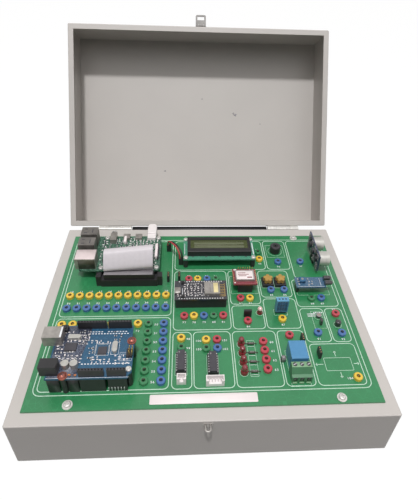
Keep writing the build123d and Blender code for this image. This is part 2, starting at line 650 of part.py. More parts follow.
def network_port():
    x = COMPUTER_X - PORT_OUT + NETWORK_L / 2
    y = COMPUTER_Y + NETWORK_Y
    shell = block(NETWORK_L, NETWORK_W, NETWORK_H, x, y, COMPUTER_TOP)
    mouth_x = COMPUTER_X - PORT_OUT - 1.0 + NETWORK_MOUTH_L / 2
    return shell - block(NETWORK_MOUTH_L, NETWORK_MOUTH_W, NETWORK_MOUTH_H, mouth_x, y, COMPUTER_TOP + 2.4)


def computer_back_ports():
    # Two small video ports and the round audio port, whose mouths face back
    edge = COMPUTER_Y + COMPUTER_D
    ports = []
    for x in VIDEO_XS:
        shell = block(VIDEO_W, VIDEO_L, VIDEO_H, COMPUTER_X + x, edge + VIDEO_OUT - VIDEO_L / 2, COMPUTER_TOP)
        mouth = Pos(COMPUTER_X + x, edge + VIDEO_OUT, COMPUTER_TOP + VIDEO_H / 2)
        ports.append(shell - mouth * Box(VIDEO_W - 1.2, VIDEO_L, VIDEO_H - 1.2))
    x, z = COMPUTER_X + AUDIO_X, COMPUTER_TOP + AUDIO_H / 2
    audio = block(AUDIO_W, AUDIO_L, AUDIO_H, x, edge - AUDIO_L / 2, COMPUTER_TOP)
    audio += rod_y(AUDIO_RING_R, AUDIO_RING_L, x, edge + AUDIO_RING_L / 2, z)
    return ports + [audio - rod_y(AUDIO_BORE_R, 2 * AUDIO_L, x, edge + AUDIO_RING_L, z)]


GPIO_AT = (COMPUTER_X + GPIO_X, COMPUTER_Y + GPIO_Y)


def ribbon_headers():
    # The computer's low pin strip, and a boxed header on the panel with a latch at each end
    low = block(GPIO_L, GPIO_D, GPIO_BASE_H, *GPIO_AT, COMPUTER_TOP)
    box = block(BOX_HEADER_L, BOX_HEADER_D, BOX_HEADER_H, RIBBON_HEADER_X, RIBBON_HEADER_Y, PANEL_TOP)
    well = block(PLUG_L + 2 * SIDE_PLAY, PLUG_D + 2 * SIDE_PLAY, BOX_HEADER_H, RIBBON_HEADER_X,
                 RIBBON_HEADER_Y, PANEL_TOP + HEADER_WALL)
    box -= well
    for side in (-1, 1):
        x = RIBBON_HEADER_X + side * (BOX_HEADER_L / 2 + 2.4)
        box += block(5.0, BOX_HEADER_D - 2.0, BOX_HEADER_H + 4.0, x, RIBBON_HEADER_Y, PANEL_TOP)
    return [low, box]


RIBBON_T = 0.9
RIBBON_W = 50.8
CLAMP_H = 2.4
COMPUTER_PLUG_Z = COMPUTER_TOP + GPIO_BASE_H
PANEL_PLUG_Z = PANEL_TOP + HEADER_WALL
PANEL_PLUG_H = BOX_HEADER_H - HEADER_WALL + PANEL_PLUG_RISE
COMPUTER_CLAMP_Z = COMPUTER_PLUG_Z + PLUG_H
PANEL_CLAMP_Z = PANEL_PLUG_Z + PANEL_PLUG_H
RIBBON_X = (GPIO_AT[0] + RIBBON_HEADER_X) / 2


def ribbon_plugs():
    # Each plug's cap bites the ribbon, which leaves it towards the back
    def plug(x, y, z, height):
        body = block(PLUG_L, PLUG_D, height + RIBBON_T + CLAMP_H, x, y, z)
        bite = block(2 * PLUG_L, PLUG_D, RIBBON_T, x, y + PLUG_D / 4, z + height)
        return body - bite
    return [plug(*GPIO_AT, COMPUTER_PLUG_Z, PLUG_H),
            plug(RIBBON_HEADER_X, RIBBON_HEADER_Y, PANEL_PLUG_Z, PANEL_PLUG_H)]


def swept(points, radii, section):
    # A section swept along straight runs joined by tangent arcs
    route = FilletPolyline(*points, radius=radii)
    shape = sweep(Plane(route @ 0, x_dir=(1, 0, 0), z_dir=route % 0) * section, route)
    return shape, route.length


# The ribbon's route: it leaves the panel's plug to the back, bulges forward over it, climbs to a crest
# above the computer's plug and comes down into that plug from the back
RIBBON_FOOT, RIBBON_BULGE, RIBBON_BULGE_RISE = 6.7, 0.6, 9.4
RIBBON_CREST, RIBBON_CREST_RISE, RIBBON_BACK = 2.2, 11.6, 11.8
RIBBON_FOOT_Y = RIBBON_HEADER_Y + RIBBON_FOOT
RIBBON_BULGE_Y, RIBBON_BULGE_Z = RIBBON_HEADER_Y + RIBBON_BULGE, PANEL_CLAMP_Z + RIBBON_BULGE_RISE
RIBBON_CREST_Y, RIBBON_CREST_Z = GPIO_AT[1] + RIBBON_CREST, COMPUTER_CLAMP_Z + RIBBON_CREST_RISE
RIBBON_BACK_Y = GPIO_AT[1] + RIBBON_BACK
RIBBON_RADII = [1.7, 5.0, 5.0, 5.4, 3.4]


def ribbon_cable():
    low_z, high_z = PANEL_CLAMP_Z + RIBBON_T / 2, COMPUTER_CLAMP_Z + RIBBON_T / 2
    points = [(RIBBON_X, RIBBON_HEADER_Y - PLUG_D / 4, low_z), (RIBBON_X, RIBBON_FOOT_Y, low_z),
              (RIBBON_X, RIBBON_BULGE_Y, RIBBON_BULGE_Z), (RIBBON_X, RIBBON_CREST_Y, RIBBON_CREST_Z),
              (RIBBON_X, RIBBON_BACK_Y - 1.0, RIBBON_CREST_Z - 2.5), (RIBBON_X, RIBBON_BACK_Y, high_z),
              (RIBBON_X, GPIO_AT[1] - PLUG_D / 4, high_z)]
    shape, length = swept(points, RIBBON_RADII, Rectangle(RIBBON_W, RIBBON_T))
    print("ribbon radii", RIBBON_RADII, "length", round(length, 1), "volume ratio",
          round(shape.volume / (length * RIBBON_W * RIBBON_T), 4))
    return shape


# The white plug in the computer's power port, at the back

PLUG_BODY_W, PLUG_BODY_L, PLUG_BODY_H = 10.4, 17.0, 6.6
PLUG_NOSE_W, PLUG_NOSE_L, PLUG_NOSE_H = 9.2, 8.0, 3.4
POWER_PORT_X = 73.8


def power_plug():
    # A grey metal port and plug nose on the board's edge, and the white grip beyond it
    x = COMPUTER_X + POWER_PORT_X
    edge = COMPUTER_Y + COMPUTER_D
    nose = block(PLUG_NOSE_W, PLUG_NOSE_L, PLUG_NOSE_H, x, edge - PLUG_NOSE_L / 2 + 1.2, COMPUTER_TOP)
    body = Pos(x, edge + 1.2 + PLUG_BODY_L / 2, COMPUTER_TOP + PLUG_NOSE_H / 2) * Box(
        PLUG_BODY_W, PLUG_BODY_L, PLUG_BODY_H)
    body = fillet(body.edges().filter_by(Axis.Z).group_by(Axis.Y)[-1], PLUG_BODY_W * 0.4)
    body = fillet(body.faces().sort_by(Axis.Z)[-1].edges(), 1.2)
    return nose + body


# Two jumper wires between pin headers beside the computer and beside the display

JUMPER_R = 0.85
HOUSING_H = 9.0
HOUSING_D = 2.6
HOUSING_W = 5.2
WIRE_GAP = 2.54
JUMPER_RISE, JUMPER_CREST = 6.0, 11.0


def jumper(shift):
    # It rises out of one housing, leans over and drops into the other
    top = PANEL_TOP + HOUSING_H
    x0, y0 = START_X + shift, START_Y
    x1, y1 = END_X + shift, END_Y
    points = [(x0, y0, top), (x0, y0, top + JUMPER_RISE), (x0 + 4.0, y0 - 7.7, top + JUMPER_CREST),
              (x1 - 3.6, y1 + 6.9, top + JUMPER_CREST), (x1, y1, top + JUMPER_RISE), (x1, y1, top)]
    route_length = [math.dist(a, b) for a, b in zip(points, points[1:])]
    radii = []
    for i in range(1, len(points) - 1):
        before = Vector(*points[i]) - Vector(*points[i - 1])
        after = Vector(*points[i + 1]) - Vector(*points[i])
        half_turn = math.radians(before.get_angle(after)) / 2
        shorter = min(route_length[i - 1], route_length[i])
        radii.append(round(0.45 * shorter / math.tan(half_turn), 2))
    route = FilletPolyline(*points, radius=radii)
    wire = sweep(Plane(route @ 0, z_dir=route % 0) * Circle(JUMPER_R), route)
    ratio = wire.volume / (route.length * math.pi * JUMPER_R ** 2)
    print("jumper radii", radii, "length", round(route.length, 1), "volume ratio", round(ratio, 4))
    return wire


# Character display

DISPLAY_BOTTOM = PANEL_TOP + DISPLAY_LIFT
DISPLAY_TOP = DISPLAY_BOTTOM + BOARD_T
BEZEL_L, BEZEL_D, BEZEL_H, BEZEL_WALL = 71.2, 25.2, 7.2, 0.8
WINDOW_L, WINDOW_D = 64.5, 14.5
GLASS_L, GLASS_D, GLASS_H = 68.0, 21.0, 5.6


def display_board():
    board = block(DISPLAY_L, DISPLAY_D, BOARD_T, DISPLAY_X, DISPLAY_Y, DISPLAY_BOTTOM)
    return drilled(board, display_screw_places())


def display_bezel():
    shell = block(BEZEL_L, BEZEL_D, BEZEL_H, DISPLAY_X, DISPLAY_Y, DISPLAY_TOP)
    shell = chamfer(shell.faces().sort_by(Axis.Z)[-1].edges(), 0.5)
    shell -= block(BEZEL_L - 2 * BEZEL_WALL, BEZEL_D - 2 * BEZEL_WALL, BEZEL_H - BEZEL_WALL,
                   DISPLAY_X, DISPLAY_Y, DISPLAY_TOP)
    return shell - block(WINDOW_L, WINDOW_D, 3 * BEZEL_H, DISPLAY_X, DISPLAY_Y, DISPLAY_TOP)


def display_glass():
    return block(GLASS_L, GLASS_D, BEZEL_H - BEZEL_WALL, DISPLAY_X, DISPLAY_Y, DISPLAY_TOP)


# Wireless board, its can and the radio board's can

WIFI_CAN_L, WIFI_CAN_D, CAN_LID_H = 15.5, 16.0, 3.0
WIFI_CAN_X = WIFI_X + 11.5
RADIO_TOP = PANEL_TOP + RADIO_LIFT + BOARD_T
RADIO_CAN_L, RADIO_CAN_D, RADIO_CAN_H = 20.0, 14.5, 2.6


def wifi_board():
    return block(WIFI_L, WIFI_D, BOARD_T, WIFI_X, WIFI_Y, WIFI_BOTTOM)


def radio_board():
    return block(RADIO_L, RADIO_D, BOARD_T, RADIO_X, RADIO_Y, PANEL_TOP + RADIO_LIFT)


def shield_cans():
    return [block(WIFI_CAN_L, WIFI_CAN_D, CAN_LID_H, WIFI_CAN_X, WIFI_Y, WIFI_TOP),
            block(RADIO_CAN_L, RADIO_CAN_D, RADIO_CAN_H, RADIO_X, RADIO_Y, RADIO_TOP)]


# Buzzer and the two panel keys

BUZZER_R, BUZZER_H, BUZZER_HOLE_R = 6.0, 8.6, 1.1
KEY_W, KEY_H = 12.0, 4.2
KEY_STEM_R, KEY_STEM_DEPTH = 2.2, 2.4
KEY_TRAVEL = 0.35
KEY_CAP_CLEAR = 0.6
KEY_CAP_H = 4.6
KEY_CAP_R, KEY_LOBE_R, KEY_LOBES = 3.3, 1.9, 5


def buzzer():
    can = post(BUZZER_R, BUZZER_H, BUZZER_X, BUZZER_Y, PANEL_TOP)
    can = fillet(can.faces().sort_by(Axis.Z)[-1].edges(), 0.6)
    return can - post(BUZZER_HOLE_R, BUZZER_H, BUZZER_X, BUZZER_Y, PANEL_TOP + 2.0)


def key_body(x):
    body = block(KEY_W, KEY_W, KEY_H, x, KEYS_Y, PANEL_TOP)
    body = chamfer(body.faces().sort_by(Axis.Z)[-1].edges(), 0.4)
    well = KEY_STEM_DEPTH + KEY_TRAVEL + SWITCH_WALL
    return body - post(KEY_STEM_R + RUNNING_FIT, 2 * well, x, KEYS_Y, PANEL_TOP + KEY_H - well)


def key_cap(x):
    # A lobed cap on a round stem
    foot = PANEL_TOP + KEY_H + KEY_CAP_CLEAR
    face = Circle(KEY_CAP_R)
    face += [Rot(0, 0, 90 + i * 360 / KEY_LOBES) * Pos(KEY_CAP_R, 0, 0) * Circle(KEY_LOBE_R)
             for i in range(KEY_LOBES)]
    cap = extrude(Pos(x, KEYS_Y, foot) * face, KEY_CAP_H)
    cap = chamfer(cap.faces().sort_by(Axis.Z)[-1].edges(), 0.5)
    stem_z = PANEL_TOP + KEY_H - KEY_STEM_DEPTH
    return cap + post(KEY_STEM_R, foot - stem_z + 1.0, x, KEYS_Y, stem_z)


# Sensors on the right

EYE_R, EYE_L, EYE_SPREAD = 8.0, 12.0, 26.0
EYE_DISH_R, EYE_DISH_DEPTH = 6.4, 1.2
CLIMATE_W, CLIMATE_D, CLIMATE_H, CLIMATE_LIFT = 12.2, 5.6, 15.6, 3.2
LDR_R, LDR_H = 2.6, 3.0
HEAT_SENSOR_SIZE = (2.6, 4.4, 6.2)
FLAME_SENSOR_R, FLAME_SENSOR_H = 3.0, 5.6
DIODE_R, DIODE_L, DIODE_SPREAD = 2.5, 8.6, 6.8
OBSTACLE_TOP = PANEL_TOP + OBSTACLE_LIFT + BOARD_T


def distance_board():
    return block(BOARD_T, DISTANCE_L, DISTANCE_H, DISTANCE_X, DISTANCE_Y, PANEL_TOP + DISTANCE_LIFT)


def distance_eyes():
    # Two round cans that face right, each with a shallow dish in its end
    face_x = DISTANCE_X + BOARD_T / 2
    z = PANEL_TOP + DISTANCE_LIFT + DISTANCE_H / 2
    eyes = []
    for side in (-1, 1):
        y = DISTANCE_Y + side * EYE_SPREAD / 2
        can = rod_x(EYE_R, EYE_L, face_x + EYE_L / 2, y, z)
        eyes.append(can - rod_x(EYE_DISH_R, 2 * EYE_DISH_DEPTH, face_x + EYE_L, y, z))
    return eyes


def obstacle_board():
    return block(OBSTACLE_L, OBSTACLE_D, BOARD_T, OBSTACLE_X, OBSTACLE_Y, PANEL_TOP + OBSTACLE_LIFT)


def climate_sensor():
    body = block(CLIMATE_W, CLIMATE_D, CLIMATE_H, CLIMATE_X, CLIMATE_Y, PANEL_TOP + CLIMATE_LIFT)
    vents = []
    for i in range(4):
        x = CLIMATE_X + (i - 1.5) * 2.4
        for z in (3.4, 6.4, 9.4, 12.4):
            vents.append(Pos(x, CLIMATE_Y - CLIMATE_D / 2, PANEL_TOP + CLIMATE_LIFT + z) * Box(1.3, 1.2, 2.0))
    return body - vents


def round_diode(x, y, z):
    # A round-nosed diode lying along +X
    straight = DIODE_L - DIODE_R
    return rod_x(DIODE_R, straight, x + straight / 2, y, z) + Pos(x + straight, y, z) * Sphere(DIODE_R)


def sensor_elements():
    # The light cell, the two-leg sensor beside it, the dark sensor in the next block and the infrared pair
    cell = post(LDR_R, LDR_H, LIGHT_CELL_X, LIGHT_CELL_Y, PANEL_TOP)
    heat = fillet(block(*HEAT_SENSOR_SIZE, HEAT_SENSOR_X, HEAT_SENSOR_Y, PANEL_TOP).edges().filter_by(Axis.Z), 0.8)
    flame = post(FLAME_SENSOR_R, FLAME_SENSOR_H, FLAME_SENSOR_X, FLAME_SENSOR_Y, PANEL_TOP)
    flame = fillet(flame.faces().sort_by(Axis.Z)[-1].edges(), FLAME_SENSOR_R * 0.55)
    edge = OBSTACLE_X + OBSTACLE_L / 2
    pair = [round_diode(edge - 1.0, OBSTACLE_Y + dy, OBSTACLE_TOP + DIODE_R)
            for dy in (-DIODE_SPREAD / 2, DIODE_SPREAD / 2)]
    return [cell, heat, flame] + pair


# Relay, terminal, chips, plugs, lamps and resistors

RELAY_L, RELAY_W, RELAY_H = 19.0, 15.3, 15.6
TERMINAL_W, TERMINAL_D, TERMINAL_H = 18.0, 11.2, 14.0
TERMINAL_LIP_D, TERMINAL_WAYS = 5.6, 3
CHIP_L, CHIP_W, CHIP_H = 20.3, 6.4, 3.3
CHIP_SOCKET_W, CHIP_SOCKET_H = 9.4, 4.4
# Width, depth, height and place on the board of each flat chip
CONTROLLER_CHIPS = [(7.4, 7.4, 1.2, 42.2, 26.0), (10.0, 7.6, 1.8, 15.0, 29.8)]
COMPUTER_CHIPS = [(15.0, 15.0, 1.4, 55.0, 28.0), (12.0, 10.0, 1.0, 38.0, 28.0)]
TRANSISTOR_R, TRANSISTOR_H, TRANSISTOR_LIFT = 2.3, 4.6, 2.0
SMALL_LED_R, SMALL_LED_H = 2.4, 7.8
PLUG_BOX_D, PLUG_BOX_H, PLUG_BOX_WALL = 5.8, 8.0, 0.8
PLUG_BOX_SIDES = 2.9
LED_R, LED_FLANGE, LED_FLANGE_H, LED_H = 2.7, 0.5, 1.4, 10.2
RESISTOR_R, RESISTOR_L, LEAD_T, LEAD_SPREAD = 1.2, 6.2, 0.5, 10.8


def relay():
    body = block(RELAY_W, RELAY_L, RELAY_H, RELAY_X, RELAY_Y, PANEL_TOP)
    return fillet(body.edges().filter_by(Axis.Z) + body.faces().sort_by(Axis.Z)[-1].edges(), 0.6)


def screw_terminal():
    # A block with a flat top for the screws and a sloping front for the wires
    d, h, lip = TERMINAL_D, TERMINAL_H, TERMINAL_LIP_D
    side = Polyline((0, 0), (d, 0), (d, h), (d - lip, h), (d - lip - 3.0, 8.4), (0, 7.4), close=True)
    body = extrude(Plane.YZ * make_face(side), TERMINAL_W)
    body = Pos(TERMINAL_X - TERMINAL_W / 2, TERMINAL_Y - d / 2, PANEL_TOP) * body
    pitch = TERMINAL_W / TERMINAL_WAYS
    for i in range(TERMINAL_WAYS):
        x = TERMINAL_X + (i - (TERMINAL_WAYS - 1) / 2) * pitch
        body -= post(1.7, 2.0, x, TERMINAL_Y + d / 2 - lip / 2, PANEL_TOP + h - 1.6)
        body -= Pos(x, TERMINAL_Y - d / 2, PANEL_TOP + 3.6) * Box(3.4, 4.0, 3.4)
    return body


def dip_chip(x, y):
    body = block(CHIP_W, CHIP_L, CHIP_H, x, y, PANEL_TOP + CHIP_SOCKET_H)
    return body - post(0.9, 1.0, x, y + CHIP_L / 2, PANEL_TOP + CHIP_SOCKET_H + CHIP_H - 0.5)


def chips():
    flat = [block(w, d, h, CONTROLLER_X + x, CONTROLLER_Y + y, CONTROLLER_TOP)
            for w, d, h, x, y in CONTROLLER_CHIPS]
    flat += [block(w, d, h, COMPUTER_X + x, COMPUTER_Y + y, COMPUTER_TOP) for w, d, h, x, y in COMPUTER_CHIPS]
    in_sockets = [dip_chip(FIRST_CHIP_X, FIRST_CHIP_Y), dip_chip(SECOND_CHIP_X, SECOND_CHIP_Y)]
    return in_sockets + flat + [transistor()]


def transistor():
    # A round-backed plastic body on three legs
    body = post(TRANSISTOR_R, TRANSISTOR_H, TRANSISTOR_X, TRANSISTOR_Y, PANEL_TOP + TRANSISTOR_LIFT)
    body -= block(4 * TRANSISTOR_R, TRANSISTOR_R, 4 * TRANSISTOR_H, TRANSISTOR_X,
                  TRANSISTOR_Y - TRANSISTOR_R, PANEL_TOP - TRANSISTOR_H)
    legs = [block(0.5, 0.5, TRANSISTOR_LIFT, TRANSISTOR_X + i * PIN_PITCH / 2, TRANSISTOR_Y, PANEL_TOP)
            for i in (-1, 0, 1)]
    return body + legs


def plug_box(ways, x, y):
    # An open-topped white header, with a slot in its front wall
    width = ways * PIN_PITCH + PLUG_BOX_SIDES
    shell = block(width, PLUG_BOX_D, PLUG_BOX_H, x, y, PANEL_TOP)
    well = block(width - 2 * PLUG_BOX_WALL, PLUG_BOX_D - 2 * PLUG_BOX_WALL, PLUG_BOX_H, x, y, PANEL_TOP + 2.6)
    key = block(width - 6 * PLUG_BOX_WALL, PLUG_BOX_D, PLUG_BOX_H, x, y - PLUG_BOX_D / 2, PANEL_TOP + 3.6)
    pins = [block(0.64, 0.64, PLUG_BOX_H - 1.0, x + (i - (ways - 1) / 2) * PIN_PITCH, y, PANEL_TOP)
            for i in range(ways)]
    return shell - well - key + pins


def led(x, y, r, height):
    flange_r = r + LED_FLANGE
    body = turned([(0, 0), (flange_r, 0), (flange_r, LED_FLANGE_H), (r, LED_FLANGE_H), (r, height - r),
                   (0, height - r)])
    return Pos(x, y, PANEL_TOP) * (body + Pos(0, 0, height - r) * Sphere(r))


def leds():
    row = [led(LEDS_X, y, LED_R, LED_H) for y in LED_YS]
    return row + [led(SMALL_LED_X, SMALL_LED_Y, SMALL_LED_R, SMALL_LED_H)]


def resistor(y):
    # A body along X whose leads turn down into the panel
    z = PANEL_TOP + RESISTOR_R + 0.2
    shape = rod_x(RESISTOR_R, RESISTOR_L, RESISTORS_X, y, z)
    shape += Pos(RESISTORS_X, y, z) * Box(LEAD_SPREAD, LEAD_T, LEAD_T)
    for side in (-1, 1):
        end_x = RESISTORS_X + side * (LEAD_SPREAD - LEAD_T) / 2
        shape += block(LEAD_T, LEAD_T, z - PANEL_TOP, end_x, y, PANEL_TOP)
    return shape


LED_YS = [LEDS_Y - i * LED_PITCH for i in range(LED_COUNT)]


# Black pin strips, chip sockets and jumper housings on the panel

WIFI_STRIP_INSET = 2.0
WIFI_STRIP_PINS = 20
DISPLAY_STRIP_PINS = 16
PROGRAMMING_X, PROGRAMMING_Y, PROGRAMMING_H = 65.4, 22.4, 2.5


def strip(count, x, y, height, z=PANEL_TOP):
    return block(count * PIN_PITCH, STRIP_D, height, x, y, z)


def upright_strip(count, x, y, height, z=PANEL_TOP):
    return block(STRIP_D, count * PIN_PITCH, height, x, y, z)


def header_strips():
    wifi_rows = [WIFI_Y + side * (WIFI_D / 2 - WIFI_STRIP_INSET) for side in (-1, 1)]
    display_row = DISPLAY_Y + DISPLAY_D / 2 - 2.2
    display_x = DISPLAY_X - DISPLAY_L / 2 + 8.0 + DISPLAY_STRIP_PINS * PIN_PITCH / 2
    solids = [strip(WIFI_STRIP_PINS, WIFI_X, y, WIFI_LIFT) for y in wifi_rows]
    solids.append(strip(DISPLAY_STRIP_PINS, display_x, display_row, DISPLAY_LIFT))
    solids.append(strip(6, RADIO_X, RADIO_Y + RADIO_D / 2 - 1.6, RADIO_LIFT))
    solids.append(strip(6, RADIO_X, RADIO_Y - RADIO_D / 2 + 1.6, RADIO_LIFT))
    solids.append(strip(7, RADIO_X + 2.4, RADIO_Y + RADIO_D / 2 + 4.4, 2.6))
    solids.append(upright_strip(3, OBSTACLE_X - OBSTACLE_L / 2 + 2.4, OBSTACLE_Y, OBSTACLE_LIFT))
    solids.append(upright_strip(4, DISTANCE_X, DISTANCE_Y, DISTANCE_LIFT))
    solids.append(strip(4, CLIMATE_X, CLIMATE_Y, CLIMATE_LIFT))
    solids += [block(CHIP_SOCKET_W, CHIP_L, CHIP_SOCKET_H, x, y, PANEL_TOP)
               for x, y in ((FIRST_CHIP_X, FIRST_CHIP_Y), (SECOND_CHIP_X, SECOND_CHIP_Y))]
    solids += [upright_strip(3, x, y, FEMALE_STRIP_H) for x, y in UPRIGHT_STRIPS]
    solids.append(strip(3, *LEVEL_STRIP, FEMALE_STRIP_H))
    solids += [strip(count, x + count * PIN_PITCH / 2, y, CONTROLLER_LIFT)
               for count, x, y in controller_strip_places()]
    solids += [block(HOUSING_W, HOUSING_D, HOUSING_H, x + WIRE_GAP / 2, y, PANEL_TOP)
               for x, y in ((START_X, START_Y), (END_X, END_Y))]
    solids.append(block(2 * PIN_PITCH, 3 * PIN_PITCH, PROGRAMMING_H, CONTROLLER_X + PROGRAMMING_X,
                        CONTROLLER_Y + PROGRAMMING_Y, CONTROLLER_TOP))
    solids.append(strip(8, SUPPLY_X, SUPPLY_Y - SUPPLY_D / 2 + 12.0, SUPPLY_DROP, SUPPLY_TOP))
    return solids


# Supply board under the panel, with its jack through the back wall

def supply_board():
    back = WALL_Y - SHEET - SIDE_PLAY
    front = SUPPLY_Y - SUPPLY_D / 2
    return block(SUPPLY_L, back - front, BOARD_T, SUPPLY_X, (back + front) / 2, SUPPLY_BOTTOM)


def power_jacks():
    # The controller's jack faces left, and the supply board's faces back through the wall
    facing_back = Rot(0, 0, -90) * barrel_jack()
    return [Pos(CONTROLLER_X - POWER_JACK_OUT, CONTROLLER_Y + POWER_JACK_Y, CONTROLLER_TOP) * barrel_jack(),
            Pos(JACK_X, WALL_Y + JACK_OUT, SUPPLY_BOTTOM - JACK_H) * facing_back]


nodes = {
    "base_shell": base_shell(),
    "base_hinge_leaves": group([leaf(x, -1, BASE_KNUCKLES, RUNNING_FIT) for x in HINGE_XS]),
    "base_rivets": group(back_rivets(BASE_RIVETS, LEAF_T)),
    "lock_staple": lock_staple(),
    "panel_board": panel_board(),
    "panel_screws": group([Pos(x, y, PANEL_TOP) * panel_screw() for x, y in panel_screw_places()]),
    "yellow_sockets": group(sockets("yellow")),
    "blue_sockets": group(sockets("blue")),
    "green_sockets": group(sockets("green")),
    "red_sockets": group(sockets("red")),
    "controller_board": controller_board(),
    "controller_usb_port": usb_b_port(),
    "controller_headers": group(controller_headers()),
    "controller_cans": group(controller_cans()),
    "switch_bodies": group(switch_bodies()),
    "reset_button": button(RESET_PLACE, SWITCH_H, BUTTON_R, BUTTON_PROUD),
    "computer_board": computer_board(),
    "computer_usb_ports": group(computer_usb_ports()),
    "computer_network_port": network_port(),
    "computer_back_ports": group(computer_back_ports()),
    "ribbon_headers": group(ribbon_headers()),
    "ribbon_plugs": group(ribbon_plugs()),
    "ribbon_cable": ribbon_cable(),
    "power_plug": power_plug(),
    "red_jumper": jumper(0.0),
    "black_jumper": jumper(WIRE_GAP),
    "display_board": display_board(),
    "display_bezel": display_bezel(),
    "display_glass": display_glass(),
    "wifi_board": wifi_board(),
    "shield_cans": group(shield_cans()),
    "wifi_reset_button": button((WIFI_SWITCH_X, WIFI_SWITCH_YS[0], WIFI_TOP), SMALL_SWITCH_H,
                                SMALL_BUTTON_R, SMALL_BUTTON_PROUD),
    "wifi_mode_button": button((WIFI_SWITCH_X, WIFI_SWITCH_YS[1], WIFI_TOP), SMALL_SWITCH_H,
                               SMALL_BUTTON_R, SMALL_BUTTON_PROUD),
    "radio_board": radio_board(),
    "buzzer": buzzer(),
    "key_bodies": group([key_body(x) for x in (LEFT_KEY_X, RIGHT_KEY_X)]),
    "left_key_cap": key_cap(LEFT_KEY_X),
    "right_key_cap": key_cap(RIGHT_KEY_X),
    "distance_sensor_board": distance_board(),
    "distance_sensor_eyes": group(distance_eyes()),
    "obstacle_sensor_board": obstacle_board(),
    "climate_sensor": climate_sensor(),
    "sensor_elements": group(sensor_elements()),
    "relay": relay(),
    "screw_terminal": screw_terminal(),
    "chips": group(chips()),
    "plug_boxes": group([plug_box(2, FIRST_PLUG_X, FIRST_PLUG_Y), plug_box(5, SECOND_PLUG_X, SECOND_PLUG_Y)]),
    "leds": group(leds()),
    "resistors": group([resistor(y) for y in LED_YS]),
    "board_spacers": group(board_spacers()),
    "board_screws": group(board_screws()),
    "header_strips": group(header_strips()),
    "supply_board": supply_board(),
    "power_jacks": group(power_jacks()),
    "lid_shell": opened(lid_shell()),
    "lid_hinge_leaves": group([opened(leaf(x, 1, LID_KNUCKLES, FIXED_FIT)) for x in HINGE_XS]),
    "lid_rivets": group([opened(r) for r in back_rivets(LID_RIVETS, LEAF_T) + front_rivets(HASP_RIVETS, HASP_LEAF_T)]),
    "hinge_pins": group([opened(pin) for pin in hinge_pins()]),
    "hasp_leaf": opened(hasp_leaf()),
    "hasp_plate": opened(hasp_plate()),
}

for name, shape in nodes.items():
    export_step(shape, f"parts/{name}.step")
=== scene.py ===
import math

import bmesh
import bpy
import numpy as np
from mathutils import Matrix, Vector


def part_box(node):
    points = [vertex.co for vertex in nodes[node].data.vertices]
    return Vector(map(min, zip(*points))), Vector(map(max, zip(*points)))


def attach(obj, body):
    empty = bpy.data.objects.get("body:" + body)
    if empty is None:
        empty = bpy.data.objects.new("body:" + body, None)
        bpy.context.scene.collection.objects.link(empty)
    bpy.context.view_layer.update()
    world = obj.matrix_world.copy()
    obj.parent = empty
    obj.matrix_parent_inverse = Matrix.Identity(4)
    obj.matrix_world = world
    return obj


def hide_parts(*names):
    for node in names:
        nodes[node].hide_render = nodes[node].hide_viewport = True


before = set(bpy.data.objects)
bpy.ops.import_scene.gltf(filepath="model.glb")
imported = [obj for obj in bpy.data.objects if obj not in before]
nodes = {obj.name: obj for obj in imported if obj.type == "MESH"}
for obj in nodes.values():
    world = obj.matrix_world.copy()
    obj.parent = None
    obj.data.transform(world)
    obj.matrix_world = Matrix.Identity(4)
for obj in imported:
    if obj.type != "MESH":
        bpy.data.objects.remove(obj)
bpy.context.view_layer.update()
mm = 0.001  # every size in this file is in mm until it becomes a mesh, apart from the lamps and the floor, in metres
random = np.random.default_rng(11)
print("stage: frame loaded,", len(nodes), "nodes")

# camera, lamps, sky and floor
camera = {
    "place": (-18.247, -308.46, 398.461),
    "right": (0.99779, -0.05308, 0.03995),
    "ahead": (0.06642, 0.81188, -0.58003),
    "up": (-0.00164, 0.5814, 0.81361),
    "lens": 31.77, "film": 36.0, "near": 0.01,
    "shift": (-0.012, -0.088),
}
lamps = {
    "keyLamp": {"from": (-0.05, -0.31, 1.0), "distance": 3.0, "size": 0.20, "power": 54.0},
    "frontLamp": {"from": (0.05, -0.48, 0.88), "distance": 1.6, "size": 1.4, "power": 4.4},
}
lampAim = np.array([0.0, 0.05, 0.05])
sky = {"strength": 0.66, "low": 0.28, "high": 0.86, "colour": (1.0, 0.97, 0.94, 1)}
floor = {"colour": (0.04, 0.04, 0.04, 1), "glow": 0.97, "half": 4.0}
white = (1, 1, 1, 1)


def addObject(name, data):
    obj = bpy.data.objects.new(name, data)
    bpy.context.scene.collection.objects.link(obj)
    return obj


def makeCamera():
    data = bpy.data.cameras.new("photoCamera")
    data.sensor_fit = "VERTICAL"
    data.sensor_height = camera["film"]
    data.lens = camera["lens"]
    data.shift_x, data.shift_y = camera["shift"]
    data.clip_start = camera["near"]
    obj = addObject("photoCamera", data)
    matrix = np.eye(4)
    matrix[:3, :3] = np.array([camera["right"], camera["up"], -np.array(camera["ahead"])]).T
    matrix[:3, 3] = np.array(camera["place"]) * mm
    obj.matrix_world = Matrix(matrix.tolist())
    bpy.context.scene.camera = obj


def makeLamp(name, values):
    # a round lamp that faces the aim from its own direction
    way = np.array(values["from"]) / np.linalg.norm(values["from"])
    data = bpy.data.lights.new(name, "AREA")
    data.shape = "DISK"
    data.size = values["size"]
    data.energy = values["power"]
    obj = addObject(name, data)
    obj.location = (way * values["distance"] + lampAim).tolist()
    side = np.cross([0.0, 1.0, 0.0], way)
    side = side / np.linalg.norm(side)
    turn = np.array([side, np.cross(way, side), way]).T
    obj.rotation_euler = Matrix(turn.tolist()).to_euler()


def setInputs(tree, node, values):
    # each named or numbered input takes a plain value or another node's output
    for key, value in values.items():
        if isinstance(value, bpy.types.NodeSocket):
            tree.links.new(value, node.inputs[key])
        else:
            node.inputs[key].default_value = value


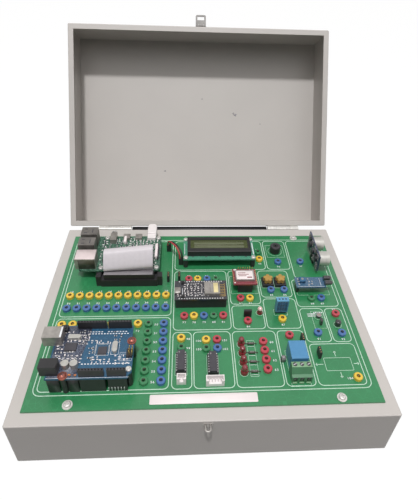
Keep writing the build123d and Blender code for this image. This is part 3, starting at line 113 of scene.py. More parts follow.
def addNode(tree, kind, values, **settings):
    node = tree.nodes.new("ShaderNode" + kind)
    for key, value in settings.items():
        setattr(node, key, value)
    setInputs(tree, node, values)
    return node


def ranged(tree, value, low, high, toLow=0.0, toHigh=1.0):
    ends = {"From Min": low, "From Max": high, "To Min": toLow, "To Max": toHigh}
    return addNode(tree, "MapRange", {"Value": value, **ends}).outputs["Result"]


def seenDirectly(tree):
    # 1 for a camera, mirror or glass ray, and 0 for a ray that lights the object
    path = addNode(tree, "LightPath", {}).outputs
    seen = path["Is Camera Ray"]
    for kind in ("Is Glossy Ray", "Is Transmission Ray"):
        seen = addNode(tree, "Math", {0: seen, 1: path[kind]}, operation="MAXIMUM").outputs[0]
    return seen


def makeWorld():
    # the light of the sky fades from straight above to the horizon, as under a pale ceiling
    world = bpy.data.worlds.new("paleStudio")
    bpy.context.scene.world = world
    world.use_nodes = True
    tree = world.node_tree
    tree.nodes.clear()
    where = addNode(tree, "TexCoord", {}).outputs["Generated"]
    height = addNode(tree, "SeparateXYZ", {0: where}).outputs["Z"]
    fade = ranged(tree, height, sky["low"], sky["high"], 0.0, sky["strength"])
    lit = addNode(tree, "Background", {"Color": sky["colour"], "Strength": fade}).outputs[0]
    shown = addNode(tree, "Background", {"Color": white}).outputs[0]
    mix = addNode(tree, "MixShader", {0: seenDirectly(tree), 1: lit, 2: shown}).outputs[0]
    addNode(tree, "OutputWorld", {"Surface": mix})


def makeFloor():
    mesh = bpy.data.meshes.new("paleFloor")
    half = floor["half"]
    mesh.from_pydata([(-half, -half, 0), (half, -half, 0), (half, half, 0), (-half, half, 0)], [], [(0, 1, 2, 3)])
    obj = addObject("paleFloor", mesh)
    material = bpy.data.materials.new("paleFloor")
    material.use_nodes = True
    tree = material.node_tree
    tree.nodes.clear()
    diffuse = addNode(tree, "BsdfDiffuse", {"Color": floor["colour"]}).outputs[0]
    strength = addNode(tree, "Math", {0: seenDirectly(tree), 1: floor["glow"]}, operation="MULTIPLY").outputs[0]
    glow = addNode(tree, "Emission", {"Color": white, "Strength": strength}).outputs[0]
    add = addNode(tree, "AddShader", {0: diffuse, 1: glow}).outputs[0]
    addNode(tree, "OutputMaterial", {"Surface": add})
    mesh.materials.append(material)


makeCamera()
for lampName, lampValues in lamps.items():
    makeLamp(lampName, lampValues)
makeWorld()
makeFloor()
bpy.context.scene.view_settings.view_transform = "Standard"
print("stage: camera, lamps and floor")

# materials: their colours are screen colours, 0 to 255
looks = {}
noiseSpan = (0.3, 0.7)  # where a noise's values mostly lie
plain = {"roughSwing": 0.15, "coatRough": 0.12, "broadDetail": 5.0, "fineDetail": 3.0}
mask = {"coatRough": 0.15, "dark": 0.9, "pale": 1.12, "broad": 18.0, "detail": 3.0, "bump": 0.3, "depth": 0.00003}
paint = {
    "broad": 9.0, "broadDetail": 6.0, "peel": 900.0, "peelDetail": 2.0, "dark": 0.95, "pale": 1.03, "roughSwing": 0.1,
    "chips": 14.0, "chipEdge": (0.010, 0.016), "chipColour": (0.10, 0.09, 0.08), "bump": 0.12, "depth": 0.00012,
}


def tone(red, green, blue):
    # a screen colour as the shader's linear one
    c = np.array([red, green, blue]) / 255
    return tuple(float(v) for v in np.where(c < 0.04045, c / 12.92, ((c + 0.055) / 1.055) ** 2.4))


def shade(colour, factor):
    return tuple(min(1.0, c * factor) for c in colour)


def startMaterial(name):
    material = bpy.data.materials.new(name)
    material.use_nodes = True
    tree = material.node_tree
    return material, tree, tree.nodes["Principled BSDF"], addNode(tree, "TexCoord", {}).outputs["Object"]


def noiseNode(tree, where, scale, detail, stretch=(1, 1, 1)):
    mapped = addNode(tree, "Mapping", {"Scale": stretch, "Vector": where}).outputs[0]
    return addNode(tree, "TexNoise", {"Scale": scale, "Detail": detail, "Vector": mapped}).outputs["Fac"]


def mixColours(tree, fac, first, second):
    ends = {key: (*value, 1) if isinstance(value, tuple) else value for key, value in (("A", first), ("B", second))}
    return addNode(tree, "Mix", {"Factor": fac, **ends}, data_type="RGBA").outputs["Result"]


def addBump(tree, shader, height, strength, depth):
    bump = addNode(tree, "Bump", {"Strength": strength, "Distance": depth, "Height": height})
    setInputs(tree, shader, {"Normal": bump.outputs["Normal"]})


def finish(name, colour, rough, metal=0.0, vary=0.10, grain=260.0, bump=0.25, depth=0.00006, fine=2600.0,
           coat=0.0, stretch=(1, 1, 1)):
    # a colour that drifts with broad noise, and a fine noise that roughens it
    material, tree, shader, where = startMaterial(name)
    broad = ranged(tree, noiseNode(tree, where, grain, plain["broadDetail"], stretch), *noiseSpan)
    small = noiseNode(tree, where, fine, plain["fineDetail"], stretch)
    colour, swing = tone(*colour), plain["roughSwing"]
    setInputs(tree, shader, {
        "Base Color": mixColours(tree, broad, shade(colour, 1 - vary), shade(colour, 1 + vary)),
        "Roughness": ranged(tree, small, *noiseSpan, rough * (1 - swing), min(1.0, rough * (1 + swing))),
        "Metallic": metal, "Coat Weight": coat, "Coat Roughness": plain["coatRough"],
    })
    addBump(tree, shader, small, bump, depth)
    looks[name] = material


def boardFinish(name, colour, trace, cell=420.0, gloss=0.35, coat=0.4, low=0.10, high=0.16):
    # solder mask over copper: cell edges measured by city blocks look like tracks with 45 degree turns
    material, tree, shader, where = startMaterial(name)
    far, near = [addNode(tree, "TexVoronoi", {"Scale": cell, "Vector": where}, feature=feature,
                         distance="MANHATTAN").outputs["Distance"] for feature in ("F2", "F1")]
    gap = addNode(tree, "Math", {0: far, 1: near}, operation="SUBTRACT").outputs[0]
    track = ranged(tree, gap, low, high, 1.0, 0.0)
    broad = ranged(tree, noiseNode(tree, where, mask["broad"], mask["detail"]), *noiseSpan)
    base = mixColours(tree, broad, shade(tone(*colour), mask["dark"]), shade(tone(*colour), mask["pale"]))
    setInputs(tree, shader, {
        "Base Color": mixColours(tree, track, base, tone(*trace)),
        "Roughness": gloss, "Coat Weight": coat, "Coat Roughness": mask["coatRough"],
    })
    addBump(tree, shader, track, mask["bump"], mask["depth"])
    looks[name] = material


def paintFinish(name, colour, rough):
    # powder paint: a fine orange peel, a broad drift, and a few dark chips
    material, tree, shader, where = startMaterial(name)
    broad = ranged(tree, noiseNode(tree, where, paint["broad"], paint["broadDetail"]), *noiseSpan)
    peel = noiseNode(tree, where, paint["peel"], paint["peelDetail"])
    base = mixColours(tree, broad, shade(tone(*colour), paint["dark"]), shade(tone(*colour), paint["pale"]))
    chips = addNode(tree, "TexVoronoi", {"Scale": paint["chips"], "Vector": where}).outputs["Distance"]
    spot = ranged(tree, chips, *paint["chipEdge"], 1.0, 0.0)
    swing = paint["roughSwing"]
    setInputs(tree, shader, {
        "Base Color": mixColours(tree, spot, base, paint["chipColour"]),
        "Roughness": ranged(tree, peel, *noiseSpan, rough * (1 - swing), rough * (1 + swing)),
    })
    addBump(tree, shader, peel, paint["bump"], paint["depth"])
    looks[name] = material


paintFinish("paint", (192, 187, 183), 0.42)
finish("steel", (158, 154, 150), 0.42, metal=0.55, vary=0.14, grain=120, stretch=(1, 6, 6))
finish("haspSteel", (146, 143, 141), 0.55, metal=0.1, vary=0.12, grain=120)
finish("screwSteel", (206, 204, 200), 0.40, metal=0.35, vary=0.12, grain=400)
finish("eyeTin", (186, 184, 178), 0.34, metal=0.5, grain=200)
finish("cream", (226, 212, 160), 0.4, metal=0.2, vary=0.08)
finish("tin", (160, 155, 150), 0.36, metal=0.6, vary=0.2, grain=160)
finish("darkTin", (116, 112, 108), 0.42, metal=0.4, vary=0.2, grain=160)
finish("solder", (206, 206, 206), 0.34, metal=0.5)
finish("gold", (214, 178, 96), 0.30, metal=0.8)
finish("copper", (150, 88, 76), 0.36, metal=0.55, vary=0.15)
boardFinish("panel", (41, 122, 75), (47, 132, 83), 150.0, low=0.04, high=0.07)
boardFinish("blueBoard", (26, 74, 104), (38, 90, 122), coat=0.2)
boardFinish("purpleBoard", (50, 56, 76), (104, 112, 130), 520.0, low=0.08, high=0.2)
boardFinish("greenBoard", (38, 76, 60), (96, 134, 114), low=0.08, high=0.2)
boardFinish("tealBoard", (70, 138, 112), (88, 156, 130))
boardFinish("blackBoard", (38, 38, 44), (60, 60, 66))
boardFinish("redBoard", (122, 48, 58), (146, 66, 74))
boardFinish("navyBoard", (36, 44, 70), (56, 68, 98))
boardFinish("slateBoard", (52, 84, 112), (72, 108, 136))
finish("silk", (196, 224, 206), 0.6, vary=0.06, bump=0.1)
finish("whiteInk", (230, 232, 236), 0.6, vary=0.05, bump=0.1)
finish("yellow", (228, 190, 62), 0.26, vary=0.05, coat=0.4)
finish("blue", (62, 104, 162), 0.26, vary=0.06, coat=0.5)
finish("green", (42, 122, 74), 0.26, vary=0.06, coat=0.5)
finish("red", (182, 54, 70), 0.26, vary=0.06, coat=0.5)
finish("black", (34, 33, 35), 0.42, vary=0.15)
# the dark colour of the socket mouths is painted shade for their deep bores
finish("mouth", (58, 54, 46), 0.5)
finish("charcoal", (62, 60, 66), 0.5, vary=0.12)
finish("greyBit", (140, 138, 138), 0.45, vary=0.15)
finish("clamp", (136, 132, 136), 0.4)
finish("white", (232, 226, 226), 0.38, vary=0.03, coat=0.15)
finish("label", (238, 228, 228), 0.7, vary=0.03, grain=60, bump=0.15)
# the network port's tin, painted lighter on its top as a painted highlight and darker on its front as painted shade
finish("litPortTin", (222, 206, 206), 0.4, metal=0.3, vary=0.06, grain=90)
finish("shadedPortTin", (74, 74, 60), 0.45, vary=0.12)
finish("ribbon", (208, 202, 207), 0.45, vary=0.03)
finish("wireRed", (172, 56, 62), 0.42, vary=0.06)
finish("wireBlack", (36, 34, 36), 0.42, vary=0.06)
finish("olive", (76, 84, 52), 0.12, vary=0.04, bump=0.02, coat=1.0)
finish("oliveCell", (82, 90, 56), 0.12, vary=0.04, bump=0.02, coat=1.0)
finish("relayBlue", (76, 136, 180), 0.36, vary=0.04, coat=0.15)
finish("sensorBlue", (92, 150, 186), 0.42, vary=0.04)
finish("sensorDeep", (46, 96, 134), 0.42, vary=0.04)
finish("terminalGreen", (62, 118, 80), 0.38, vary=0.05, coat=0.1)
finish("terminalPale", (122, 162, 124), 0.42, vary=0.05)
finish("keyYellow", (172, 136, 70), 0.42, vary=0.12)
finish("lampRed", (122, 24, 34), 0.12, vary=0.05, bump=0.02, coat=0.8)
# the pale colour of the small lamp's dome is a painted highlight on the red lamp
finish("lampHighlight", (232, 196, 190), 0.3, vary=0.05, coat=0.3)
finish("resistor", (62, 62, 50), 0.5, vary=0.15)
finish("sensorBlack", (44, 42, 46), 0.18, coat=0.6)
finish("cell", (176, 120, 88), 0.35, coat=0.4)
finish("orange", (206, 126, 66), 0.4, vary=0.08)
nodeLooks = {
    "paint": ["base_shell", "lid_shell"],
    "steel": ["base_rivets", "lid_rivets", "lock_staple"],
    "haspSteel": ["hasp_leaf", "hasp_plate"],
    "screwSteel": ["board_screws", "panel_screws", "base_hinge_leaves", "lid_hinge_leaves", "hinge_pins"],
    "panel": ["panel_board"],
    "yellow": ["yellow_sockets"], "blue": ["blue_sockets"], "green": ["green_sockets"], "red": ["red_sockets"],
    "blueBoard": ["controller_board"],
    "slateBoard": ["obstacle_sensor_board"],
    "navyBoard": ["distance_sensor_board"],
    "greenBoard": ["computer_board", "supply_board"],
    "tealBoard": ["display_board"],
    "blackBoard": ["wifi_board"],
    "redBoard": ["radio_board"],
    "tin": ["controller_usb_port", "computer_network_port", "computer_back_ports", "shield_cans"],
    "darkTin": ["computer_usb_ports"],
    "eyeTin": ["controller_cans", "distance_sensor_eyes"],
    "black": ["power_jacks", "controller_headers", "ribbon_headers", "ribbon_plugs", "switch_bodies", "key_bodies",
              "display_bezel", "buzzer", "header_strips", "reset_button", "wifi_reset_button", "wifi_mode_button",
              "board_spacers"],
    "charcoal": ["chips"],
    "olive": ["display_glass"],
    "ribbon": ["ribbon_cable"],
    "white": ["power_plug", "plug_boxes"],
    "wireRed": ["red_jumper"], "wireBlack": ["black_jumper"],
    "sensorBlue": ["climate_sensor"], "relayBlue": ["relay"], "terminalGreen": ["screw_terminal"],
    "keyYellow": ["left_key_cap", "right_key_cap"],
    "lampRed": ["leds"], "resistor": ["resistors"], "sensorBlack": ["sensor_elements"],
}
for look, names in nodeLooks.items():
    for name in names:
        for place in nodes[name].material_slots:
            place.material = looks[look]
print("stage:", len(looks), "materials on", sum(len(n) for n in nodeLooks.values()), "nodes")


# shapes: each is its points and its faces of four corners, or three and a -1
def surface(points):
    # a grid of points whose columns close on themselves
    rows, cols = points.shape[:2]
    i, j = np.arange(rows - 1)[:, None] * cols, np.arange(cols)[None, :]
    k = (j + 1) % cols
    quads = np.stack(np.broadcast_arrays(i + j, i + k, i + cols + k, i + cols + j), -1).reshape(-1, 4)
    return points.reshape(-1, 3), quads


def roundedRing(width, depth, radius, steps=3):
    # corner centre plus radius times (cos u, sin u), for a quarter turn of u at each corner
    u = np.linspace(0, np.pi / 2, steps)
    radius = min(radius, width / 2 - 1e-4, depth / 2 - 1e-4)
    arc = np.stack([np.cos(u), np.sin(u)], 1) * radius
    cx, cy = width / 2 - radius, depth / 2 - radius
    turns = [((cx, cy), (1, 0, 0, 1)), ((-cx, cy), (0, -1, 1, 0)), ((-cx, -cy), (-1, 0, 0, -1)),
             ((cx, -cy), (0, 1, -1, 0))]
    return np.concatenate([np.array(c) + arc @ np.array(t).reshape(2, 2).T for c, t in turns])


def block(x, y, z, width, depth, height, radius=0.15, edge=0.1, steps=3):
    # a rounded ring lifted to each level and drawn in near the top and foot, closed at its middle
    levels = [(0, min(width, depth) / 2), (0, edge), (edge, 0), (height - edge, 0), (height, edge),
              (height, min(width, depth) / 2)]
    rings = []
    for index, (lift, inset) in enumerate(levels):
        if index in (0, len(levels) - 1):
            ring = np.zeros((4 * steps, 2))
        else:
            ring = roundedRing(width - 2 * inset, depth - 2 * inset, max(radius - inset, 0.02), steps)
        rings.append(np.column_stack([ring + (x, y), np.full(4 * steps, z + lift)]))
    return surface(np.array(rings))


def boxes(rows, edge=0.12):
    # per row of x, y, foot, width, depth, height and turn: a square ring at the foot, one below the top, and one
    # drawn in at the top
    rows = np.array([tuple(r) + (0,) * (7 - len(r)) for r in rows], float)
    corner = np.array([(1, 1), (-1, 1), (-1, -1), (1, -1)]) / 2
    size = rows[:, None, None, 3:6]
    cut = np.minimum(edge, size.min(-1, keepdims=True) * 0.3)
    inset = np.array([0, 0, 1])[None, :, None, None] * 2 * cut
    flat = corner[None, None] * (size[..., :2] - inset)
    high = np.concatenate([size[..., 2:] * 0, size[..., 2:] - cut, size[..., 2:]], 1)
    turn = np.radians(rows[:, 6])[:, None, None]
    x = flat[..., 0] * np.cos(turn) - flat[..., 1] * np.sin(turn)
    y = flat[..., 0] * np.sin(turn) + flat[..., 1] * np.cos(turn)
    z = np.broadcast_to(high[..., 0], x.shape)
    points = np.stack([x, y, z], -1).reshape(len(rows), 12, 3) + rows[:, None, :3]
    j, k = np.arange(4), (np.arange(4) + 1) % 4
    sides = np.concatenate([np.stack([j + b, k + b, k + b + 4, j + b + 4], 1) for b in (0, 4)])
    one = np.concatenate([[[3, 2, 1, 0]], sides, [[8, 9, 10, 11]]])
    return points.reshape(-1, 3), (one[None] + np.arange(len(rows))[:, None, None] * 12).reshape(-1, 4)


def lathe(profile, count=24, at=(0, 0, 0)):
    # each point of the profile, as radius and height, is carried round the upright axis
    profile = np.array(profile, float)
    u = np.arange(count) * 2 * np.pi / count
    ring = np.stack([np.cos(u), np.sin(u)], 1)
    flat = profile[:, None, :1] * ring[None]
    high = np.broadcast_to(profile[:, None, 1:], (len(profile), count, 1))
    return surface(np.concatenate([flat, high], -1) + np.array(at, float))


def capped(shape, cols):
    # closes both ends of a carried section with a fan to the end ring's middle
    grid = shape[0].reshape(-1, cols, 3)
    first, last = grid[:1].mean(1, keepdims=True), grid[-1:].mean(1, keepdims=True)
    return surface(np.concatenate([np.repeat(first, cols, 1), grid, np.repeat(last, cols, 1)]))


def turnedTo(shape, matrix, shift=(0, 0, 0)):
    points, faces = shape
    return points @ np.array(matrix, float).T + np.array(shift, float), faces


def copies(shape, places):
    # the same shape at each place
    points, faces = shape
    places = np.array(places, float).reshape(-1, 3)
    moved = (places[:, None] + points[None]).reshape(-1, 3)
    jumps = np.arange(len(places))[:, None, None] * len(points)
    return moved, np.where(faces[None] < 0, -1, faces[None] + jumps).reshape(-1, 4)


def joined(shapes):
    points, faces, start = [], [], 0
    for shapePoints, shapeFaces in shapes:
        points.append(shapePoints)
        faces.append(np.where(shapeFaces < 0, -1, shapeFaces + start))
        start += len(shapePoints)
    return np.concatenate(points), np.concatenate(faces)


def piece(name, shapes, look, body="base", smooth=False, replaces=()):
    points, faces = joined(shapes)
    used = faces >= 0
    sides = used.sum(1)
    mesh = bpy.data.meshes.new(name)
    mesh.vertices.add(len(points))
    mesh.vertices.foreach_set("co", (points * mm).ravel())
    mesh.loops.add(int(sides.sum()))
    mesh.loops.foreach_set("vertex_index", faces[used])
    mesh.polygons.add(len(faces))
    mesh.polygons.foreach_set("loop_start", np.concatenate([[0], np.cumsum(sides)[:-1]]))
    mesh.update(calc_edges=True)
    work = bmesh.new()
    work.from_mesh(mesh)
    bmesh.ops.remove_doubles(work, verts=work.verts, dist=2e-7)
    bmesh.ops.dissolve_degenerate(work, edges=work.edges, dist=1e-7)
    bmesh.ops.recalc_face_normals(work, faces=work.faces)
    work.to_mesh(mesh)
    work.free()
    if smooth:
        mesh.polygons.foreach_set("use_smooth", np.ones(len(mesh.polygons), bool))
        mesh.set_sharp_from_angle(angle=math.radians(40))
    mesh.materials.append(looks[look])
    obj = addObject(name, mesh)
    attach(obj, body)
    if replaces:
        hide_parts(*replaces)
    return obj


def boxOf(name):
    low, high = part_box(name)
    return np.array(low) / mm, np.array(high) / mm


def cornerOf(name):
    # a board's near left corner, on its top
    low, high = boxOf(name)
    return np.array([low[0], low[1], high[2]])


def onBoard(corner, rows):
    # rows of x, y, lift, width, depth, height and turn, measured from a board's corner
    return [tuple(np.array(r[:3]) + corner) + tuple(r[3:]) for r in rows]


panelTop = boxOf("panel_board")[1][2]
pinPitch, pinWide = 2.54, 0.64
inkThick, inkLift = 0.05, 0.02

# printed lines and numbers on the panel
panelPrint = {
    "width": 0.75, "radius": 4.2, "outer": (-144.4, 143.5, -97.8, 99.6), "outerRadius": 6.2,
    "blocks": [(-141.4, -32.6, -15.2, 97.2), (-141.4, -32.6, -94.4, -17.8), (-30.0, 26.1, -33.4, 46.4),
               (-29.9, -12.7, -94.7, -36.0), (-10.8, 24.2, -94.7, -36.0), (26.2, 67.2, -94.8, -36.2),
               (69.2, 94.8, -94.8, -36.2), (97.2, 139.8, -94.8, -52.2), (97.0, 120.8, -49.8, -9.0),
               (122.6, 140.0, -50.0, -9.2), (28.4, 59.6, -33.3, -4.0), (28.2, 59.4, -1.8, 46.4),
               (61.6, 94.9, -33.4, 4.8), (61.4, 94.1, 7.2, 46.2), (96.8, 139.7, -6.4, 32.0),
               (-30.0, 71.6, 48.6, 97.2), (73.8, 99.8, 48.6, 97.2), (102.0, 139.8, 34.5, 97.2)],
    "motor": (107.3, 132.0, -80.7, -67.5),
    "motorRadius": 0.8, "motorWidth": 0.4,
    "arrows": [(119.2, -66.0, 0, 5.5), (119.2, -82.3, 180, 5.5), (105.6, -74.0, 90, 7.0), (133.6, -74.0, -90, 5.0)],
    "arrowWidth": 0.55, "headLong": 1.5, "headWide": 1.2,
    "label": (-47.6, 42.2, -108.0, -99.4), "labelThick": 0.25, "labelRadius": 0.8, "labelEdge": 0.08,
    "outlineWidth": 0.28, "outlineRadius": 0.6,
    "outlines": [(-27.2, -16.8, -82.0, -60.0), (0.8, 11.2, -84.2, -62.2), (73.2, 90.2, -94.2, -58.6),
                 (38.8, 46.0, -84.6, -46.8), (70.6, 84.0, -17.0, -9.4), (29.8, 58.6, 12.6, 38.2),
                 (76.2, 96.8, 68.6, 89.4), (63.4, 76.2, 20.4, 33.2), (77.0, 89.8, 20.4, 33.2),
                 (99.8, 134.0, 9.4, 26.2), (108.0, 120.0, -34.0, -12.6)],
    "rings": [(33.4, -51.1, 3.9), (33.4, -60.9, 3.9), (33.4, -70.7, 3.9), (33.4, -80.5, 3.9), (56.0, -13.6, 3.6),
              (114.6, -19.6, 4.0), (131.2, -30.0, 3.8), (86.5, 79.0, 8.0)],
}
figures = {
    "size": 3.1, "pitch": 0.62, "drop": 0.35, "boldness": 0.02, "roundness": 3,
    "rows": [(10, 11, -135.3, 17.8, 9.7, 0), (30, 11, -135.3, 1.9, 9.7, 0), (50, 7, -46.3, -26.1, 0, -10.25),
             (60, 4, 62.4, -49.1, 0, -9.8)],
    "looseFrom": 70,
    "loose": [(-135.3, -33.4), (-125.3, -33.4), (-63.7, -33.4), (-14.6, 39.2), (-5.2, 39.2), (4.7, 39.2),
              (14.2, 39.2), (-19.4, -24.2), (-9.9, -24.2), (-0.1, -24.2), (9.5, -24.2), (19.0, -24.2), (38.5, -1.0),
              (48.3, -1.0), (42.8, -30.4), (72.0, 10.2), (86.1, 10.2), (77.4, -28.8), (112.7, -2.4), (123.1, -2.4),
              (80.6, -48.8), (108.9, -46.4), (132.0, -47.2), (132.5, -10.8), (65.9, 57.8), (65.7, 82.2),
              (86.8, 53.0), (112.5, 53.4), (-15.6, -43.7), (-15.6, -54.0), (-6.2, -46.1), (18.4, -45.9),
              (18.4, -55.6), (-6.2, -55.4), (126.0, -88.5)],
}


def frameLine(x0, x1, y0, y1, radius, width, z, thick, steps=5):
    # a flat bar section carried round a rounded rectangle, back to its start
    outer = roundedRing(x1 - x0 + width, y1 - y0 + width, radius + width / 2, steps)
    inner = roundedRing(x1 - x0 - width, y1 - y0 - width, max(radius - width / 2, 0.05), steps)
    middle = np.array([(x0 + x1) / 2, (y0 + y1) / 2])
    grid = [np.column_stack([ring + middle, np.full(len(ring), z + lift)])
            for ring, lift in ((inner, 0), (inner, thick), (outer, thick), (outer, 0))]
    grid = np.array(grid).transpose(1, 0, 2)
    return surface(np.concatenate([grid, grid[:1]]))


def ringLine(x, y, z, radius, width, thick, count=24):
    # a flat bar section turned about an upright axis, back to its start
    inner, outer = radius - width / 2, radius + width / 2
    return lathe([(inner, 0), (inner, thick), (outer, thick), (outer, 0), (inner, 0)], count, (x, y, z))


def bar(x0, y0, x1, y1, width, z, thick):
    # a straight printed stroke from one point to the other
    run = np.array([x1 - x0, y1 - y0])
    turn = math.degrees(math.atan2(run[1], run[0]))
    return boxes([((x0 + x1) / 2, (y0 + y1) / 2, z, np.hypot(*run), width, thick, turn)])


def digitShape(char):
    # a figure's outline, filled and given a thickness of 1, at a height of about 0.7
    curve = bpy.data.curves.new("figure", "FONT")
    curve.body = char
    curve.extrude = 0.5
    curve.offset = figures["boldness"]
    curve.resolution_u = figures["roundness"]
    curve.align_x = "CENTER"
    holder = bpy.data.objects.new("figure", curve)
    mesh = bpy.data.meshes.new_from_object(holder)
    mesh.calc_loop_triangles()
    points = np.empty(len(mesh.vertices) * 3)
    mesh.vertices.foreach_get("co", points)
    corners = np.empty(len(mesh.loop_triangles) * 3, int)
    mesh.loop_triangles.foreach_get("vertices", corners)
    bpy.data.objects.remove(holder)
    bpy.data.meshes.remove(mesh)
    bpy.data.curves.remove(curve)
    corners = corners.reshape(-1, 3)
    faces = np.column_stack([corners, np.full(len(corners), -1)])
    return points.reshape(-1, 3) + (0, 0, 0.5), faces


def makePanelPrint(own):
    width, thick, z = own["width"], inkThick, panelTop
    lines = [frameLine(*b, own["radius"], width, z, thick) for b in own["blocks"]]
    lines.append(frameLine(*own["outer"], own["outerRadius"], width, z, thick))
    lines.append(frameLine(*own["motor"], own["motorRadius"], own["motorWidth"], z, thick))
    stroke, headLong, headWide = own["arrowWidth"], own["headLong"], own["headWide"]
    for x, y, turn, length in own["arrows"]:
        way = np.array([-math.sin(math.radians(turn)), math.cos(math.radians(turn))])
        side = np.array([way[1], -way[0]])
        tip = np.array([x, y]) + way * length
        lines.append(bar(x, y, *tip, stroke, z, thick))
        for sign in (-1, 1):
            lines.append(bar(*(tip - way * headLong + side * sign * headWide), *tip, stroke, z, thick))
    piece("panelPrint", lines, "silk")
    x0, x1, y0, y1 = own["label"]
    label = block((x0 + x1) / 2, (y0 + y1) / 2, z, x1 - x0, y1 - y0, own["labelThick"],
                  own["labelRadius"], own["labelEdge"], 4)
    piece("blankLabel", [label], "label")
    fine, radius = own["outlineWidth"], own["outlineRadius"]
    outlines = [frameLine(*b, radius, fine, z, thick, 3) for b in own["outlines"]]
    outlines += [ringLine(x, y, z, r, fine, thick) for x, y, r in own["rings"]]
    piece("partOutlines", outlines, "silk")


def makeFigures(own):
    size, pitch = own["size"], own["pitch"]
    rows = [(str(own["looseFrom"] + i), x, y) for i, (x, y) in enumerate(own["loose"])]
    for first, count, x, y, stepX, stepY in own["rows"]:
        rows += [(str(first + i), x + i * stepX, y + i * stepY) for i in range(count)]
    digits = {char: digitShape(char) for char in sorted(set("".join(text for text, _, _ in rows)))}
    shapes = []
    for text, x, y in rows:
        for index, char in enumerate(text):
            left = x + (index - (len(text) - 1) / 2) * size * pitch
            points, faces = digits[char]
            shapes.append((points * (size, size, inkThick) + (left, y - size * own["drop"], panelTop), faces))
    piece("socketNumbers", shapes, "whiteInk")


makePanelPrint(panelPrint)
makeFigures(figures)
print("stage: panel print and numbers")

# the patch sockets' mouths, darkened as painted shade for their deep bores: rows, columns and the ones that stand alone
sockets = {
    "rise": 3.4,
    "mouth": [(1.0, -0.62), (1.58, 0.02), (1.72, 0.02), (1.72, -0.05), (1.64, -0.05), (1.04, -0.7), (1.0, -0.62)],
    "rows": [(11, -135.3, 10.6, 9.7, 0), (11, -135.3, -5.9, 9.7, 0), (7, -53.7, -26.1, 0, -10.25),
             (7, -39.0, -26.1, 0, -10.25), (4, 54.4, -49.1, 0, -9.8)],
    "alone": [(-135.3, -26.2), (-125.3, -26.1), (-63.7, -26.0), (-5.2, 33.1), (-9.9, -17.3), (48.3, 5.0),
              (77.4, -22.6), (65.9, 64.2), (-22.2, -43.7), (1.0, -46.1), (132.7, -88.5), (4.7, 33.1), (-0.1, -17.3),
              (86.8, 59.5), (112.5, 59.7), (72.0, 16.4), (86.1, 16.4), (123.1, 4.1), (108.9, -40.0), (132.0, -41.0),
              (11.1, -55.6), (14.2, 33.1), (9.5, -17.3), (-22.0, -54.0), (0.9, -55.4), (65.7, 75.9), (112.7, 3.9),
              (-14.6, 33.1), (-19.4, -17.3), (19.0, -17.3), (38.5, 5.3), (42.8, -24.4), (80.6, -42.4),
              (11.2, -45.9), (132.5, -17.1)],
}


def makeSocketMouthShade():
    places = [(x + i * stepX, y + i * stepY) for count, x, y, stepX, stepY in sockets["rows"] for i in range(count)]
    places = [(x, y, panelTop + sockets["rise"]) for x, y in places + sockets["alone"]]
    piece("socketMouthShade", [copies(lathe(sockets["mouth"], 16), places)], "mouth", smooth=True)


makeSocketMouthShade()
print("stage: socket mouths")

# a black strip on the base's back wall, between the hinges, under the open lid: painted shadow for the shaded gap
# there, seen between base and lid
gapShadeStrip = {
    "from": -84.4, "to": 84.4,
    "section": [(122.5, 47.6), (122.5, 53.0), (129.8, 52.9), (131.6, 52.0), (131.6, 49.4), (130.0, 47.6)],
}


def makeGapShadeStrip():
    ring = np.array(gapShadeStrip["section"])
    ends = [np.column_stack([np.full(len(ring), x), ring]) for x in (gapShadeStrip["from"], gapShadeStrip["to"])]
    middles = [np.repeat(end.mean(0)[None], len(ring), 0) for end in ends]
    piece("lidGapShadeStrip", [surface(np.array([middles[0], ends[0], ends[1], middles[1]]))], "black")


makeGapShadeStrip()
print("stage: gap shade strip")

# the two jumper wires: splines from housing to housing, through part.py's own points
jumpers = {
    "start": (-38.5, 80.5), "end": (-24.6, 58.0), "gap": 2.54, "radius": 0.85,
    "housing": 9.0, "rise": 6.0, "crest": 11.0, "crestAfterStart": (4.0, -7.7), "crestBeforeEnd": (-3.6, 6.9),
}


def makeJumper(name, shift, look, node):
    low = panelTop + jumpers["housing"]
    x0, y0 = jumpers["start"][0] + shift, jumpers["start"][1]
    x1, y1 = jumpers["end"][0] + shift, jumpers["end"][1]
    rise, crest = low + jumpers["rise"], low + jumpers["crest"]
    (dx0, dy0), (dx1, dy1) = jumpers["crestAfterStart"], jumpers["crestBeforeEnd"]
    points = [(x0, y0, low), (x0, y0, rise), (x0 + dx0, y0 + dy0, crest), (x1 + dx1, y1 + dy1, crest), (x1, y1, rise),
              (x1, y1, low)]
    curve = bpy.data.curves.new(name, "CURVE")
    curve.dimensions = "3D"
    line = curve.splines.new("NURBS")
    line.points.add(len(points) - 1)
    for place, point in zip(line.points, points):
        place.co = (*(c * mm for c in point), 1)
    line.order_u = 3
    line.use_endpoint_u = True
    line.resolution_u = 16
    curve.bevel_depth = jumpers["radius"] * mm
    curve.bevel_resolution = 4
    curve.use_fill_caps = True
    curve.materials.append(looks[look])
    obj = addObject(name, curve)
    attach(obj, "base")
    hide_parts(node)


makeJumper("redJumperWire", 0.0, "wireRed", "red_jumper")
makeJumper("blackJumperWire", jumpers["gap"], "wireBlack", "black_jumper")
print("stage: jumper wires")

# the ribbon: forty wires side by side, carried along a smooth curve from plug to plug
ribbon = {
    "wires": 40, "pitch": 1.27, "thick": 0.86, "ribs": 5, "middleX": -77.75, "tilt": 4.6,
    "curve": [(27.65, 68.15), (31.0, 68.15), (35.2, 68.15), (33.4, 72.0), (30.2, 76.0), (33.6, 82.4), (38.2, 88.6),
              (41.6, 92.2), (46.6, 91.6), (50.2, 89.0), (50.6, 85.0), (50.2, 81.45), (46.0, 81.45), (37.45, 81.45)],
    "leans": [0, 0, 0, 0.4, 0.9, 1, 1, 1, 1, 0.8, 0.4, 0, 0, 0],
    "waist": 0.84, "clamps": [(29.2, 71.0), (39.0, 84.3)], "clampSize": (50.4, 5.2, 0.35),
}


